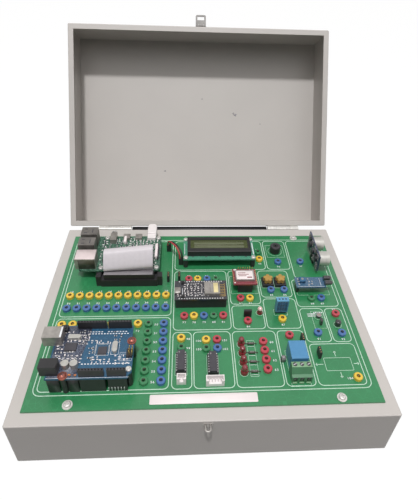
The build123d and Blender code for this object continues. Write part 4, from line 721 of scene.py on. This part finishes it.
def smoothCurve(points, steps=10):
    # quadratic spline: between the middles of two runs it is the blend (1-t)^2 a + 2t(1-t) b + t^2 c
    points = np.array(points, float)
    middles = (points[1:] + points[:-1]) / 2
    starts = np.concatenate([points[:1], middles[1:-1]])
    ends = np.concatenate([middles[1:-1], points[-1:]])
    t = np.linspace(0, 1, steps, endpoint=False)[:, None]
    parts = [(1 - t) ** 2 * a + 2 * t * (1 - t) * b + t ** 2 * c for a, b, c in zip(starts, points[1:-1], ends)]
    return np.concatenate(parts + [points[-1:]])


def makeRibbon(own):
    # the section runs along X, and its right side stands a little higher where the ribbon leans
    curve = smoothCurve([(y, z, lean) for (y, z), lean in zip(own["curve"], own["leans"])], 7)
    width = own["wires"] * own["pitch"]
    s = np.linspace(0, own["wires"], own["wires"] * own["ribs"] + 1)
    lobe = own["thick"] / 2 * (own["waist"] + (1 - own["waist"]) * np.sqrt(np.abs(np.sin(np.pi * s))))
    side = s * own["pitch"] - width / 2
    across = np.concatenate([side, side[::-1]])
    proud = np.concatenate([lobe, -lobe[::-1]])
    along = np.gradient(curve[:, :2], axis=0)
    along /= np.linalg.norm(along, axis=1)[:, None]
    away = np.column_stack([-along[:, 1], along[:, 0]])
    lift = curve[:, 2:] * own["tilt"] * (across / width)[None]
    x = np.broadcast_to(own["middleX"] + across, lift.shape)
    y = curve[:, :1] + away[:, :1] * proud[None] + lift * 0.5
    z = curve[:, 1:2] + away[:, 1:] * proud[None] + lift
    grid = surface(np.stack([x, y, z], -1))
    piece("ribbonCable", [capped(grid, len(across))], "ribbon", smooth=True,
          replaces=("ribbon_cable",))
    clamps = [(own["middleX"], y, z, *own["clampSize"]) for y, z in own["clamps"]]
    piece("ribbonClamps", [boxes(clamps)], "clamp")


makeRibbon(ribbon)
print("stage: ribbon")

# parts spread over a board: each zone is x0, x1, y0, y1 and how many
scatter = {"jitter": 0.22, "sizes": (0.75, 1.25), "ends": (0.3, 1.04, 1.06)}


def scattered(zones, long, wide, high):
    # a place drawn evenly from a jittered grid in the zone, and a turn of 0 or 90 degrees
    rows, jitter = [], scatter["jitter"]
    for x0, x1, y0, y1, count in zones:
        across = max(1, int(round(math.sqrt(count * (x1 - x0) / (y1 - y0)))))
        down = max(1, int(math.ceil(count / across)))
        cellX, cellY = (x1 - x0) / across, (y1 - y0) / down
        for index in range(count):
            x = x0 + (index % across + 0.5 + random.uniform(-jitter, jitter)) * cellX
            y = y0 + (index // across + 0.5 + random.uniform(-jitter, jitter)) * cellY
            size = random.uniform(*scatter["sizes"], 3)
            turn = float(random.integers(0, 2) * 90)
            rows.append((x, y, 0.0, long * size[0], wide * size[1], high * size[2], turn))
    return rows


def withEnds(rows):
    # the soldered ends of each small part: two short blocks about its own ends
    longer, wider, higher = scatter["ends"]
    ends = []
    for x, y, z, long, wide, high, turn in rows:
        way = np.array([math.cos(math.radians(turn)), math.sin(math.radians(turn))]) * (long / 2)
        for sign in (-1, 1):
            ends.append((x + sign * way[0], y + sign * way[1], z, long * longer, wide * wider, high * higher, turn))
    return ends


def legRow(x, y, foot, count, pitch, width, depth, height, alongX=True):
    # a straight row of legs or pins at even steps, about its own middle
    steps = (np.arange(count) - (count - 1) / 2) * pitch
    return [(x + (s if alongX else 0), y + (0 if alongX else s), foot, width, depth, height) for s in steps]


def chipRows(x, y, out, span, foot, width, depth, height, alongX):
    # two facing rows of eight legs about a chip's middle
    spots = [(s * out, t) for s in (-1, 1) for t in np.linspace(-span, span, 8)]
    return [(x + (t if alongX else s), y + (s if alongX else t), foot, width, depth, height) for s, t in spots]


def bits(name, rows, look, origin=(0, 0, 0), edge=0.12, others=()):
    # a piece of plain blocks measured from an origin, with other shapes beside them if there are any
    piece(name, [boxes(onBoard(origin, rows), edge), *others], look)


def smallParts(prefix, origin, values, extra=()):
    # a board's dark and pale parts, and the solder at their ends
    dark, pale = scattered(values["dark"], *values["darkSize"]), scattered(values["pale"], *values["paleSize"])
    bits(prefix + "Bits", dark, "charcoal", origin)
    bits(prefix + "Pale", pale, "label", origin)
    bits(prefix + "Solder", withEnds(dark) + withEnds(pale) + list(extra), "solder", origin)


def topOf(name):
    # the middle of a node's top
    low, high = boxOf(name)
    return np.array([(low[0] + high[0]) / 2, (low[1] + high[1]) / 2, high[2]])


# the controller board: its parts are placed from its near left corner
controller = {
    "dark": [(3, 24, 15.5, 27, 9), (3, 9, 27, 45, 5), (20, 29, 32, 48, 12), (30, 36, 16, 32, 6), (49, 58, 35, 47, 5)],
    "pale": [(2, 27, 13.5, 27, 26), (9, 30, 32, 48, 26), (2, 9, 27, 48, 12), (31, 50, 33, 38, 9),
             (34, 50, 14, 21, 12), (52, 66, 12, 22, 12)],
    "darkSize": (1.9, 1.1, 0.7), "paleSize": (1.5, 0.8, 0.5),
    "pour": [(1.2, 0.6), (24.8, 0.6), (24.5, 15.5), (29.8, 44.2), (29.8, 52.6), (1.2, 52.6)], "pourThick": 0.06,
    "chipRows": [(41.8, 27.4, 5.6, 3.6, 0.25, 1.6, 0.34, 0.4, False),
                 (41.8, 27.4, 5.6, 3.6, 0.25, 0.34, 1.6, 0.4, True), (15.0, 29.8, 4.4, 4.2, 0.25, 0.4, 1.6, 0.4, True)],
    "marks": [(28, 61.6, 44.0), (26.5, 64.8, 13.5), (28, 40, 46.2), (44, 61, 46.2), (27, 40, 6.6), (48, 64, 6.6)],
    "markSize": (1.5, 0.9), "markShift": 0.8, "frontLine": (34, 0.7, inkLift, 66, 0.3, inkThick),
    "frames": [(57.2, 67.6, 15.9, 24.2), (58.4, 66.2, 17.6, 22.4), (36.2, 47.6, 21.6, 33.2),
               (49.4, 55.8, 22.2, 34.4)],
    "frameRadius": 0.4, "frameWidth": 0.24,
    "headers": [(8, 26.7, 2.54), (6, 49.5, 2.54), (10, 17.5, 50.86), (8, 44.5, 50.86)], "hole": (1.1, 1.1, 0.04),
    "domes": [(13.97, 2.54), (66.04, 35.56)], "domeRadius": 3.9, "domeHeight": 3.2,
    "cross": (3.4, 0.5, 0.12), "crossTurns": (30, 120), "stripWidth": 1.5, "stripIn": 0.9, "stripShort": 1.2,
    "lamps": [(23.9, 3.1, 0, 1.8, 1.2, 1.0), (19.3, 3.3, 0, 2.0, 1.3, 1.2)],
    "pins": (65.4, 22.4, 2.6), "pinsHeight": 5.6, "lonePin": (-86.4, -47.5), "loneLift": 2.0,
    "loneSize": (0.7, 0.7, 8.0), "underPins": (49.5, 63, 1.1), "underPinSize": (0.6, 0.4, 5.6),
    # black blocks under the board's left front, as painted shade for its shadow, each as x and width
    "underShadeBlocks": [(5.4, 9.6), (21.4, 8.4)], "underY": 2.3, "underDepth": 2.4,
}


def makeController(own):
    corner = cornerOf("controller_board")
    outline = np.array(own["pour"])
    flat = np.column_stack([outline, np.zeros(len(outline))]) + corner
    middle = np.repeat(flat.mean(0)[None], len(flat), 0)
    lift = np.array([0, 0, own["pourThick"]])
    pour = surface(np.array([middle, flat, flat + lift, middle + lift]))
    piece("controllerPour", [pour], "purpleBoard")
    smallParts("controller", corner, own, [leg for chip in own["chipRows"] for leg in chipRows(*chip)])
    shift, size = own["markShift"], own["markSize"]
    marks = [(x + shift, y, inkLift, *size, inkThick) for x0, x1, y in own["marks"]
             for x in np.arange(x0, x1, pinPitch)]
    frames = [frameLine(x0 + corner[0], x1 + corner[0], y0 + corner[1], y1 + corner[1], own["frameRadius"],
                        own["frameWidth"], corner[2] + inkLift, inkThick, 3)
              for x0, x1, y0, y1 in own["frames"]]
    bits("controllerPrint", marks + [own["frontLine"]], "whiteInk", corner, others=frames)
    # each dome is a flat rim 1 mm high and a quarter of an ellipse above it
    r, h = own["domeRadius"], own["domeHeight"]
    arc = [(r * 0.8 * math.cos(a), 1.0 + (h - 1.0) * math.sin(a)) for a in np.linspace(0, np.pi / 2, 6)]
    dome = lathe([(0, 0), (r, 0), (r, 0.9), (r * 0.86, 1.0)] + arc, 20)
    places = [corner + (x, y, inkLift) for x, y in own["domes"]]
    piece("controllerDomes", [copies(dome, places)], "copper", smooth=True)
    cross = [(x, y, h - inkLift, *own["cross"], turn) for x, y in own["domes"]
             for turn in own["crossTurns"]]
    bits("controllerDomeCross", cross, "charcoal", corner)
    # a white strip along the back of the port's top: a painted highlight on its edge
    low, high = boxOf("controller_usb_port")
    strip = (high[0] - own["stripIn"], (low[1] + high[1]) / 2, high[2], own["stripWidth"],
             high[1] - low[1] - own["stripShort"], 0.12)
    bits("controllerPortHighlight", [strip], "whiteInk")
    bits("controllerLamps", own["lamps"], "orange", corner)
    gold = legRow(*(corner + own["pins"]), 3, pinPitch, pinWide, pinWide, own["pinsHeight"], alongX=False)
    gold += [(row[0] + pinPitch, *row[1:]) for row in gold]
    gold += [(*own["lonePin"], corner[2] + own["loneLift"], *own["loneSize"])]
    bits("controllerPins", gold, "gold")
    # black blocks under the board's left front, painted shade for the board's shadow on the panel, and the pins that
    # stand below its front edge
    low, high = boxOf("controller_board")
    foot, rise = panelTop - high[2], low[2] - panelTop
    strips = [(x, own["underY"], foot, width, own["underDepth"], rise)
              for x, width in own["underShadeBlocks"]]
    bits("controllerUnderShade", strips, "black", corner, 0.05)
    headerTop = boxOf("controller_headers")[1][2] - high[2]
    holes = [(x + i * pinPitch, y, headerTop, *own["hole"]) for count, x, y in own["headers"]
             for i in range(count)]
    bits("controllerHeaderHoles", holes, "charcoal", corner, 0.01)
    x0, x1, y = own["underPins"]
    pins = [(x, y, foot + 0.1, *own["underPinSize"]) for x in np.arange(x0, x1, pinPitch)]
    bits("controllerUnderPins", pins, "solder", corner)


makeController(controller)
print("stage: controller details")

# the small computer: ports, parts and print, from its near left corner
computer = {
    "dark": [(26, 44, 12, 22, 9), (46, 66, 6, 20, 10), (64, 82, 20, 44, 14), (20, 50, 36, 50, 14),
             (50, 80, 36, 44, 10)],
    "pale": [(20, 46, 2, 12, 10), (48, 82, 38, 54, 40), (66, 82, 6, 20, 10), (19, 26, 14, 50, 14),
             (26, 46, 46, 52, 10), (70, 78, 8, 40, 24)],
    "darkSize": (2.2, 1.4, 0.9), "paleSize": (1.6, 0.9, 0.6),
    "computerFlatPlugs": [((80.6, 27.0, 0), (2.8, 21.0, 5.2)), ((44.6, 46.4, 0), (2.8, 10.0, 5.2))],
    "computerFlatLatches": [((82.6, 27.0, 0), (1.2, 22.0, 4.4))], "flatEdges": (0.3, 0.2),
    "springs": [(-4.0, -3.2, 3.4, 1.0), (-4.0, 3.2, 3.4, 1.0), (3.5, 0, 1.0, 6.2)], "springX": 6.0,
    "springY": (29.0, 47.0), "springThick": 0.14,
    "ring": [(2.0, 0), (3.2, 0), (3.2, 0.9), (2.6, 1.3), (2.0, 0.9), (2.0, 0)], "ringX": 31.0, "ringLift": 3.2,
}


def makeComputer(own):
    corner = cornerOf("computer_board")
    smallParts("computer", corner, own)
    for name, look, slot in (("computerFlatPlugs", "label", "white_plastic"),
                             ("computerFlatLatches", "charcoal", "board_dark")):
        parts = [block(*(corner + place), *size, *own["flatEdges"]) for place, size in computer[name]]
        piece(name, parts, look)
    low, high = boxOf("computer_network_port")
    size, top = high - low, topOf("computer_network_port")
    # the port's top is painted lighter as a painted highlight, and its front face darker as painted shade
    bits("networkPortLitTop", [(*top, size[0] - 1.0, size[1] - 1.0, 0.15)], "litPortTin")
    face = (top[0] + 1.5, low[1] - 0.05, low[2] + 0.4, size[0] - 4.0, 0.12, size[2] - 1.4)
    bits("networkPortShadedSide", [face], "shadedPortTin")
    portTop, thick = boxOf("computer_usb_ports")[1][2], own["springThick"]
    springs = [(own["springX"] + corner[0] + x, y + corner[1] + side, portTop, width, depth, thick)
               for y in own["springY"] for x, side, width, depth in own["springs"]]
    bits("dataPortSprings", springs, "charcoal")
    place = (own["ringX"] + corner[0], boxOf("computer_back_ports")[1][1], corner[2] + own["ringLift"])
    ring = turnedTo(lathe(own["ring"], 20), [[1, 0, 0], [0, 0, 1], [0, -1, 0]], place)
    piece("audioPortRing", [ring], "solder", smooth=True)


makeComputer(computer)
print("stage: computer details")

# the wireless board: from its middle
wireless = {
    "dark": [(-16, 5, -8, -2, 6), (-17, 4, 1, 9, 7)],
    "pale": [(-18, 6, -9, -3, 14), (-18, 6, -3, 3, 14), (-24, -16, -9, -5, 4), (-18, 6, 3, 9.4, 14)],
    "darkSize": (2.0, 1.3, 0.8), "paleSize": (1.3, 0.8, 0.5),
    "pads": (-21.6, 22.0, 11.6), "padSize": (1.3, 1.3, 0.25),
    "port": (-23.2, -2.0, 0), "portSize": (6.0, 7.6, 2.6, 0.9, 0.3, 4),
    "print": [(-23.2, 2.4, 0.0, 6.0, 0.4, inkThick), (-18.5, -2, 0, 0.4, 9, inkThick),
              (7.2, 0, 0, 0.4, 18, inkThick)],
    "aerialPitch": 2.2, "aerialLine": 0.45, "aerialThick": 0.06, "canTop": 3.0,
    "canStrip": (15.2, 0, 3.0, 4.6, 13.0, 0.12), "canFrame": (9.4, 18.2, -6.2, 6.2),
}


def makeWireless(own):
    middle = topOf("wifi_board")
    x0, x1, y = own["pads"]
    pads = [(x, s * y, 0.0, *own["padSize"]) for x in np.arange(x0, x1, pinPitch) for s in (-1, 1)]
    smallParts("wireless", middle, own, pads)
    piece("wirelessPort", [block(*(middle + own["port"]), *own["portSize"])], "tin")
    bits("wirelessPrint", own["print"], "whiteInk", middle)
    # the aerial's zigzag: its long strokes, its turns and its cross strokes
    step, line, thick = own["aerialPitch"], own["aerialLine"], own["aerialThick"]
    zigzag = [(24.4, -7.6 + i * step, 0.0, line, 1.9, thick) for i in range(8)]
    zigzag += [(18.9 + (i % 2) * 5.0, -8.6 + i * step, 0.0, line, line, thick) for i in range(8)]
    zigzag += [(21.6, -8.6 + i * step, 0.0, 5.4, line, thick) for i in range(8)]
    bits("wirelessAntenna", zigzag, "gold", middle)
    bits("wirelessCanStrip", [own["canStrip"]], "cream", middle)
    x0, x1, y0, y1 = own["canFrame"]
    rim = frameLine(middle[0] + x0, middle[0] + x1, middle[1] + y0, middle[1] + y1, 0.4, 0.3,
                    middle[2] + own["canTop"], thick, 3)
    piece("wirelessCanFrame", [rim], "charcoal")


makeWireless(wireless)
print("stage: wireless details")

# the radio, measured from its middle on the panel, and its can's top
radio = {
    "middle": (44.2, 25.4), "boardTop": 68.3, "canTop": 70.9, "labelAt": (-0.2, -0.3), "labelThick": 0.15,
    "label": (17.6, 12.4), "labelEdges": (0.6, 0.05, 3),
    "marks": [(-3.2, 2.8, 0, 8.0, 0.9, inkThick), (-1.6, 0.6, 0, 11.2, 0.9, inkThick),
              (-2.6, -1.6, 0, 8.2, 0.9, inkThick), (4.6, -3.8, 0, 5.2, 1.6, inkThick)],
    "bits": [(-9.6, 9.2, 0, 2.8, 1.8, 1.2), (9.4, 8.8, 0, 1.8, 1.2, 0.8), (6.2, 9.2, 0, 1.6, 1.0, 0.7),
             (-11.0, -9.2, 0, 1.6, 1.2, 0.7)],
    "edge": (11.9, 8.6), "edgeSize": (0.7, 1.1, 0.12), "pins": (46.6, 41.05), "pinsLift": 2.6, "pinsHeight": 8.4,
}


def makeRadio(own):
    (x, y), top, canTop = own["middle"], own["boardTop"], own["canTop"]
    shiftX, shiftY = own["labelAt"]
    label = block(x + shiftX, y + shiftY, canTop, *own["label"], own["labelThick"], *own["labelEdges"])
    piece("radioLabel", [label], "label")
    bits("radioMarks", own["marks"], "redBoard", (x, y, canTop + own["labelThick"]))
    bits("radioBits", own["bits"], "label", (x, y, top))
    out, span = own["edge"]
    edge = [(x + s * out, y + t, top, *own["edgeSize"]) for s in (-1, 1) for t in np.linspace(-span, span, 8)]
    pins = legRow(*own["pins"], panelTop + own["pinsLift"], 7, pinPitch, pinWide, pinWide, own["pinsHeight"])
    bits("radioPins", edge + pins, "gold")


# the climate sensor, with vents in its top and ribs and slots in its front: the ribs' darker blue is painted shade on
# its front, and the dark vents and slots paint the shade inside its openings
climate = {
    "middle": (77.3, -13.0), "top": 74.9, "step": 2.1, "rows": 6, "vent": (1.7, 1.5, 0.06), "rib": (10.6, 0.35, 0.9),
    "slot": (2.1, 0.12, 1.0), "legs": (0.5, 0.5, 3.3),
}


def makeClimate(own):
    (x, y), top, step, rows = own["middle"], own["top"], own["step"], range(own["rows"])
    vents = [(x + s * 3.2, y + 0.2, top, *own["vent"]) for s in (-1, 0, 1)]
    bits("climateVentShade", vents, "sensorBlack")
    ribs = [(x, y - 2.95, top - 3.2 - i * step, *own["rib"]) for i in rows]
    bits("climateShadedRibs", ribs, "sensorDeep")
    slots = [(x + s * 2.7, y - 2.84, top - 2.3 - i * step, *own["slot"]) for i in rows
             for s in (-1.4, -0.45, 0.45, 1.4)]
    bits("climateSlotShade", slots, "charcoal")
    bits("climateLegs", legRow(x, y, panelTop, 4, pinPitch, *own["legs"]), "solder")


# the character display: solder, the bezel's bent tabs, print, and the two rows of its glass
display = {
    "pads": 16, "padsShift": -12, "padSize": (1.5, 1.5, 0.3), "tabs": 5, "tabSize": (2.2, 1.3, 0.5), "tabIn": 6,
    "padsIn": 2.0, "leftLine": (0.5, 18.0), "rightLine": (1.0, 20.0), "lineIn": 1.3, "row": (56.0, 5.0, 0.006),
    "rowSide": 2.9,
}


def makeDisplay(own):
    low, high = boxOf("display_board")
    middle = (low + high) / 2
    pads = legRow(middle[0] + own["padsShift"], high[1] - own["padsIn"], high[2], own["pads"], pinPitch,
                  *own["padSize"])
    bits("displaySolder", pads, "solder")
    bezelLow, bezelHigh = boxOf("display_bezel")
    along = np.linspace(bezelLow[0] + own["tabIn"], bezelHigh[0] - own["tabIn"], own["tabs"])
    tabs = [(x, y, high[2], *own["tabSize"]) for x in along for y in (bezelLow[1] - 0.5, bezelHigh[1] + 0.5)]
    bits("displayTabs", tabs, "charcoal")
    ink = [(high[0] - own["lineIn"], middle[1], high[2], *own["rightLine"], inkThick),
           (low[0] + own["lineIn"], middle[1], high[2], *own["leftLine"], inkThick)]
    bits("displayPrint", ink, "whiteInk")
    glassTop = boxOf("display_glass")[1][2]
    cells = [(middle[0], middle[1] + s * own["rowSide"], glassTop, *own["row"]) for s in (-1, 1)]
    bits("displayCells", cells, "oliveCell", edge=0.002)


makeRadio(radio)
makeClimate(climate)
makeDisplay(display)
print("stage: modules")

# the distance sensor: chips as y, z, width and height, and the parts beside them
distance = {
    "face": 126.2,
    "chips": [(50.6, 71.0, 5.2, 6.4), (62.8, 70.4, 5.0, 6.6), (74.6, 71.4, 5.2, 6.4)], "chipThick": 1.5,
    "bitsY": (43.2, 46.4, 54.6, 56.8, 59.0, 67.2, 69.6, 79.4, 82.4), "bitsZ": (62.8, 65.2, 68.0, 75.2, 78.0, 80.4),
    "bit": (1.9, 1.1, 0.7), "leg": (0.2, 0.5, 1.2, 0.5), "drums": [(49.7, 78.4), (62.7, 64.4), (75.7, 78.2)],
    "drum": [(0, 0), (1.9, 0), (1.9, 1.3), (1.6, 1.6), (0, 1.6)], "pins": (62.7, 61.8),
    "dishes": [(49.7, 71.1), (75.7, 71.1)], "dishRadius": 6.3, "dishIn": 1.1, "mesh": (5.2, 9), "wire": 0.22,
}


def onDistanceFace(rows):
    # the board stands upright: a row's run is carried along Y, its depth along Z, and its height towards -X
    return turnedTo(boxes(rows), [[0, 0, -1], [1, 0, 0], [0, 1, 0]], (distance["face"], 0, 0))


def makeDistance(own):
    chips = [(y, z, 0.0, w, d, own["chipThick"]) for y, z, w, d in own["chips"]]
    piece("distanceChips", [onDistanceFace(chips)], "charcoal")
    small = [(y, z, 0.0, *own["bit"]) for y in own["bitsY"] for z in own["bitsZ"]]
    small += [(y + s * 1.4, z + t * 3.8, *own["leg"]) for y, z, _, _ in own["chips"] for s in (-1, 0, 1)
              for t in (-1, 1)]
    piece("distanceBits", [onDistanceFace(small)], "greyBit")
    drum = lathe(own["drum"], 16)
    drums = [turnedTo(drum, [[0, 0, -1], [1, 0, 0], [0, 1, 0]], (own["face"], y, z)) for y, z in own["drums"]]
    piece("distanceDrums", drums, "black", smooth=True)
    y, z = own["pins"]
    pins = [(y + (i - 1.5) * pinPitch, z, 0.0, pinWide, 1.8, pinWide) for i in range(4)]
    piece("distanceSolder", [onDistanceFace(pins)], "solder")
    reach, count = own["mesh"]
    wire, mesh = own["wire"], []
    for y, z in own["dishes"]:
        for s in np.linspace(-reach, reach, count):
            run = 2 * math.sqrt(own["dishRadius"] ** 2 - s * s)
            mesh += [(y + s, z, 0, wire, run, wire), (y, z + s, 0, run, wire, wire)]
    front = boxOf("distance_sensor_eyes")[1][0] - own["dishIn"]
    grid = turnedTo(boxes(mesh, 0.03), [[0, 0, 1], [1, 0, 0], [0, 1, 0]], (front, 0, 0))
    piece("distanceMesh", [grid], "tin")


# the obstacle sensor, from its middle
obstacle = {
    "zones": [(-13, -11.5, -5.4, 5.4, 3), (-3, 3, -5.4, 5.4, 5)], "size": (1.7, 1.1, 0.7),
    "trimmer": (-8.4, 1.4, 0, 6.0, 6.0, 3.4), "screwAt": (-8.4, 1.4, 3.4),
    "screw": [(0, 0), (1.5, 0), (1.5, 0.3), (1.2, 0.5), (0, 0.5)],
    "print": [(0, -6.6, 0, 28, 0.3, inkThick), (10.6, 0, 0, 0.3, 11, inkThick)],
}


def makeObstacle(own):
    middle = topOf("obstacle_sensor_board")
    rows = scattered(own["zones"], *own["size"])
    bits("obstacleBits", rows, "greyBit", middle)
    bits("obstacleSolder", withEnds(rows), "solder", middle)
    bits("obstacleTrimmer", [own["trimmer"]], "sensorDeep", middle)
    screw = lathe(own["screw"], 16, middle + own["screwAt"])
    piece("obstacleScrew", [screw], "greyBit", smooth=True)
    bits("obstaclePrint", own["print"], "whiteInk", middle)


# the light cell: its face and track, and the legs printed and laid on the panel
lightCell = {
    "at": (114.6, -19.6), "top": 59.1, "face": [(0, 0), (2.7, 0), (2.7, 0.04), (2.2, 0.16), (0, 0.16)],
    "track": (5, 0.75, 0.22, 2.6, 0.5), "trackLift": 0.15, "leg": (8.2, 0.6, 0.3, 4), "legSteps": (0, 0.6, 1.2),
    "dots": 5, "dotSize": (1.3, 1.3, inkThick),
}


def makeLightCell(own):
    (x, y), top = own["at"], own["top"]
    piece("lightCellFace", [lathe(own["face"], 20, (x, y, top))], "greyBit", smooth=True)
    legs = [(x - 6.6, y + 2.6 * s + 0.6, panelTop, *own["leg"]) for s in own["legSteps"]]
    legs += [(x - 3.4 + 1.9 * i, y + 5.0 + 0.3 * (i % 2), panelTop, *own["dotSize"]) for i in range(own["dots"])]
    bits("lightCellLegs", legs, "whiteInk")
    count, step, width, long, shorter = own["track"]
    track = [(x - 1.5 + i * step, y, top + own["trackLift"], width, long - abs(i - 2) * shorter, inkThick)
             for i in range(count)]
    bits("lightCellTrack", track, "cell")


# the relay's rim, and the screw terminal with its three ways: its screws are darkened as painted shade in their
# recesses, a bright bar on each is a painted highlight, its paler green top is a painted highlight, and black plates
# paint the shade inside its wire openings
relay = {"rimIn": 1.2, "rim": (0.8, 0.25)}
terminal = {
    "x": 81.9, "screwIn": 2.8, "screw": [(0, 0), (1.9, 0), (1.9, 0.35), (1.6, 0.6), (0, 0.6)], "screwLift": 0.1,
    "slot": (3.0, 0.6, 0.08, 25), "slotLift": 0.58, "mouth": (3.6, 0.12, 3.8), "foot": (4.0, 1.2, 1.3),
}


def makeRelay():
    low, high = boxOf("relay")
    inset, size = relay["rimIn"], relay["rim"]
    rim = frameLine(low[0] + inset, high[0] - inset, low[1] + inset, high[1] - inset, *size, high[2], inkThick)
    piece("relayMarks", [rim], "sensorBlue")
    low, high = boxOf("screw_terminal")
    x, back = terminal["x"], high[1] - terminal["screwIn"]
    ways = [x + (i - 1) * (high[0] - low[0]) / 3 for i in range(3)]
    screws = [(way, back, high[2] + terminal["screwLift"]) for way in ways]
    # dark screws as painted shade in their recesses, and bright bars on them as painted highlights
    piece("terminalShadedScrews", [copies(lathe(terminal["screw"], 18), screws)], "charcoal", smooth=True)
    bits("terminalScrewGlints", [(a, b, c + terminal["slotLift"], *terminal["slot"]) for a, b, c in screws], "solder")
    # the paler top is a painted highlight; the black plates in front are painted shade in the wire openings
    bits("terminalLitTop", [(x, back, high[2], high[0] - low[0] - 0.3, 5.4, 0.2)], "terminalPale")
    mouths = [(way, low[1] - 0.1, low[2] + 3.4, *terminal["mouth"]) for way in ways]
    bits("terminalMouthShade", mouths, "sensorBlack")
    feet = [(way, low[1] - 0.5, low[2], *terminal["foot"]) for way in ways]
    bits("terminalFeet", feet, "terminalPale")


makeDistance(distance)
makeObstacle(obstacle)
makeLightCell(lightCell)
makeRelay()
print("stage: sensors and terminal")

# driver chips, lamps, resistors, the transistor, the buzzer and the pins on the panel
bench = {
    "chips": [(-22.0, -71.0), (6.0, -73.1)], "chipTop": 63.8, "legs": 8, "legOut": 3.7, "legLift": 4.2,
    "leg": (0.9, 0.85, 1.4), "dot": [(0, 0), (0.8, 0), (0.8, 0.05), (0, 0.05)], "dotAt": (-1.8, 7.6),
    "dome": [(0, 0), (2.44, 0), (2.5, 0.3), (2.1, 1.4), (1.2, 2.2), (0, 2.5)],
    "domeAt": (56.0, -13.6), "domeLift": 5.6,
    "transistor": (69.4, -70.4), "transistorLift": 2.0, "transistorLegs": (3, 1.27, 0.5, 0.5, 2.1),
    "transistorFront": (3.6, 0.3, 4.2, 0.1, 0.08), "transistorTop": (3.0, 2.6, 0.12, 0.8, 0.04),
    "lampX": 33.4, "lampY": -51.1, "pitch": 9.8, "lamps": 4,
    "holder": [(2.75, 0), (3.5, 0), (3.5, 3.4), (3.3, 3.8), (2.75, 3.8), (2.75, 0)],
    "resistorX": 42.4, "resistorLine": (6.0, 0.35, inkThick), "lineSide": 2.3, "bands": (-1.5, -0.6, 0.3, 1.4),
    "band": (0.5, 1.5, 0.06), "buzzerRing": [(3.4, 0), (5.2, 0), (5.2, 0.12), (3.4, 0.12), (3.4, 0)],
    "strips": [(91.4, -49.4), (103.8, -64.6), (-36.6, 34.0), (-25.0, 34.0)],
    "stripTop": 8.5, "contact": (0.7, 0.7, 0.06),
}


def makeBench(own):
    out, size, foot = own["legOut"], own["leg"], panelTop + own["legLift"]
    legs = [(x + side * out, *row[1:]) for x, y in own["chips"] for side in (-1, 1)
            for row in legRow(x, y, foot, own["legs"], pinPitch, *size, alongX=False)]
    bits("chipLegs", legs, "solder")
    shiftX, shiftY = own["dotAt"]
    dots = [lathe(own["dot"], 12, (x + shiftX, y + shiftY, own["chipTop"])) for x, y in own["chips"]]
    piece("chipDots", dots, "greyBit")
    # a pale dome over the small red lamp: a painted highlight
    dome = lathe(own["dome"], 20, (*own["domeAt"], panelTop + own["domeLift"]))
    piece("smallLampHighlight", [dome], "lampHighlight", smooth=True)
    (x, y), foot = own["transistor"], panelTop + own["transistorLift"]
    faces = [block(x, y - 1.25, foot + 0.2, *own["transistorFront"]),
             block(x, y + 0.4, foot + 4.6, *own["transistorTop"])]
    piece("transistorFace", faces, "greyBit")
    bits("transistorLegs", legRow(x, y - 0.2, panelTop, *own["transistorLegs"]), "solder")
    rows = [own["lampY"] - i * own["pitch"] for i in range(own["lamps"])]
    x, side = own["resistorX"], own["lineSide"]
    ink = [(x, y + s * side, panelTop, *own["resistorLine"]) for y in rows for s in (1, -1)]
    bits("resistorPrint", ink, "whiteInk")
    holders = copies(lathe(own["holder"], 20), [(own["lampX"], y, panelTop) for y in rows])
    piece("lampHolders", [holders], "lampRed", smooth=True)
    top = boxOf("resistors")[1][2]
    bands = [(x + s, y, top, *own["band"]) for y in rows for s in own["bands"]]
    bits("resistorBands", bands, "greyBit")
    piece("buzzerRing", [lathe(own["buzzerRing"], 28, topOf("buzzer"))], "charcoal", smooth=True)
    contacts = [row for x, y in own["strips"]
                for row in legRow(x, y, panelTop + own["stripTop"], 3, pinPitch, *own["contact"], alongX=False)]
    bits("stripContacts", contacts, "gold", edge=0.02)


makeBench(bench)
print("stage: chips, lamps and pins")

# chipped paint on the lid's plate: small flakes laid flat on its inner face
lidWear = {
    "spots": [(3.9, 267.7, 166.7, 2.0), (49.5, 256.7, 148.9, 4.4), (47.0, 257.9, 150.8, 2.6),
              (84.4, 250.5, 138.8, 1.8), (-46.6, 215.9, 82.8, 2.8)],
    "open": 121.7, "thick": 0.06, "corners": 14, "flat": 0.7,
}


def makeLidWear(own):
    # each flake is a ring whose radius swings by a third as it goes round
    a = math.radians(own["open"])
    up, out = np.array([0, -math.cos(a), math.sin(a)]), np.array([0, -math.sin(a), -math.cos(a)])
    turn = np.array([[1, 0, 0], up, out]).T
    u = np.arange(own["corners"]) * 2 * np.pi / own["corners"]
    lift, flakes = (0, 0, own["thick"]), []
    for x, y, z, size in own["spots"]:
        reach = size / 2 * (1 + 0.35 * np.sin(3 * u + x) + 0.2 * np.cos(5 * u + y))
        ring = np.stack([reach * np.cos(u), own["flat"] * reach * np.sin(u), 0 * u], 1)
        rings = [ring * 0, ring, ring * 0.9 + lift, ring * 0 + lift]
        flakes.append(turnedTo(surface(np.array(rings)), turn, (x, y, z)))
    piece("lidPaintChips", flakes, "clamp", body="lid")


makeLidWear(lidWear)
print("stage: lid wear")
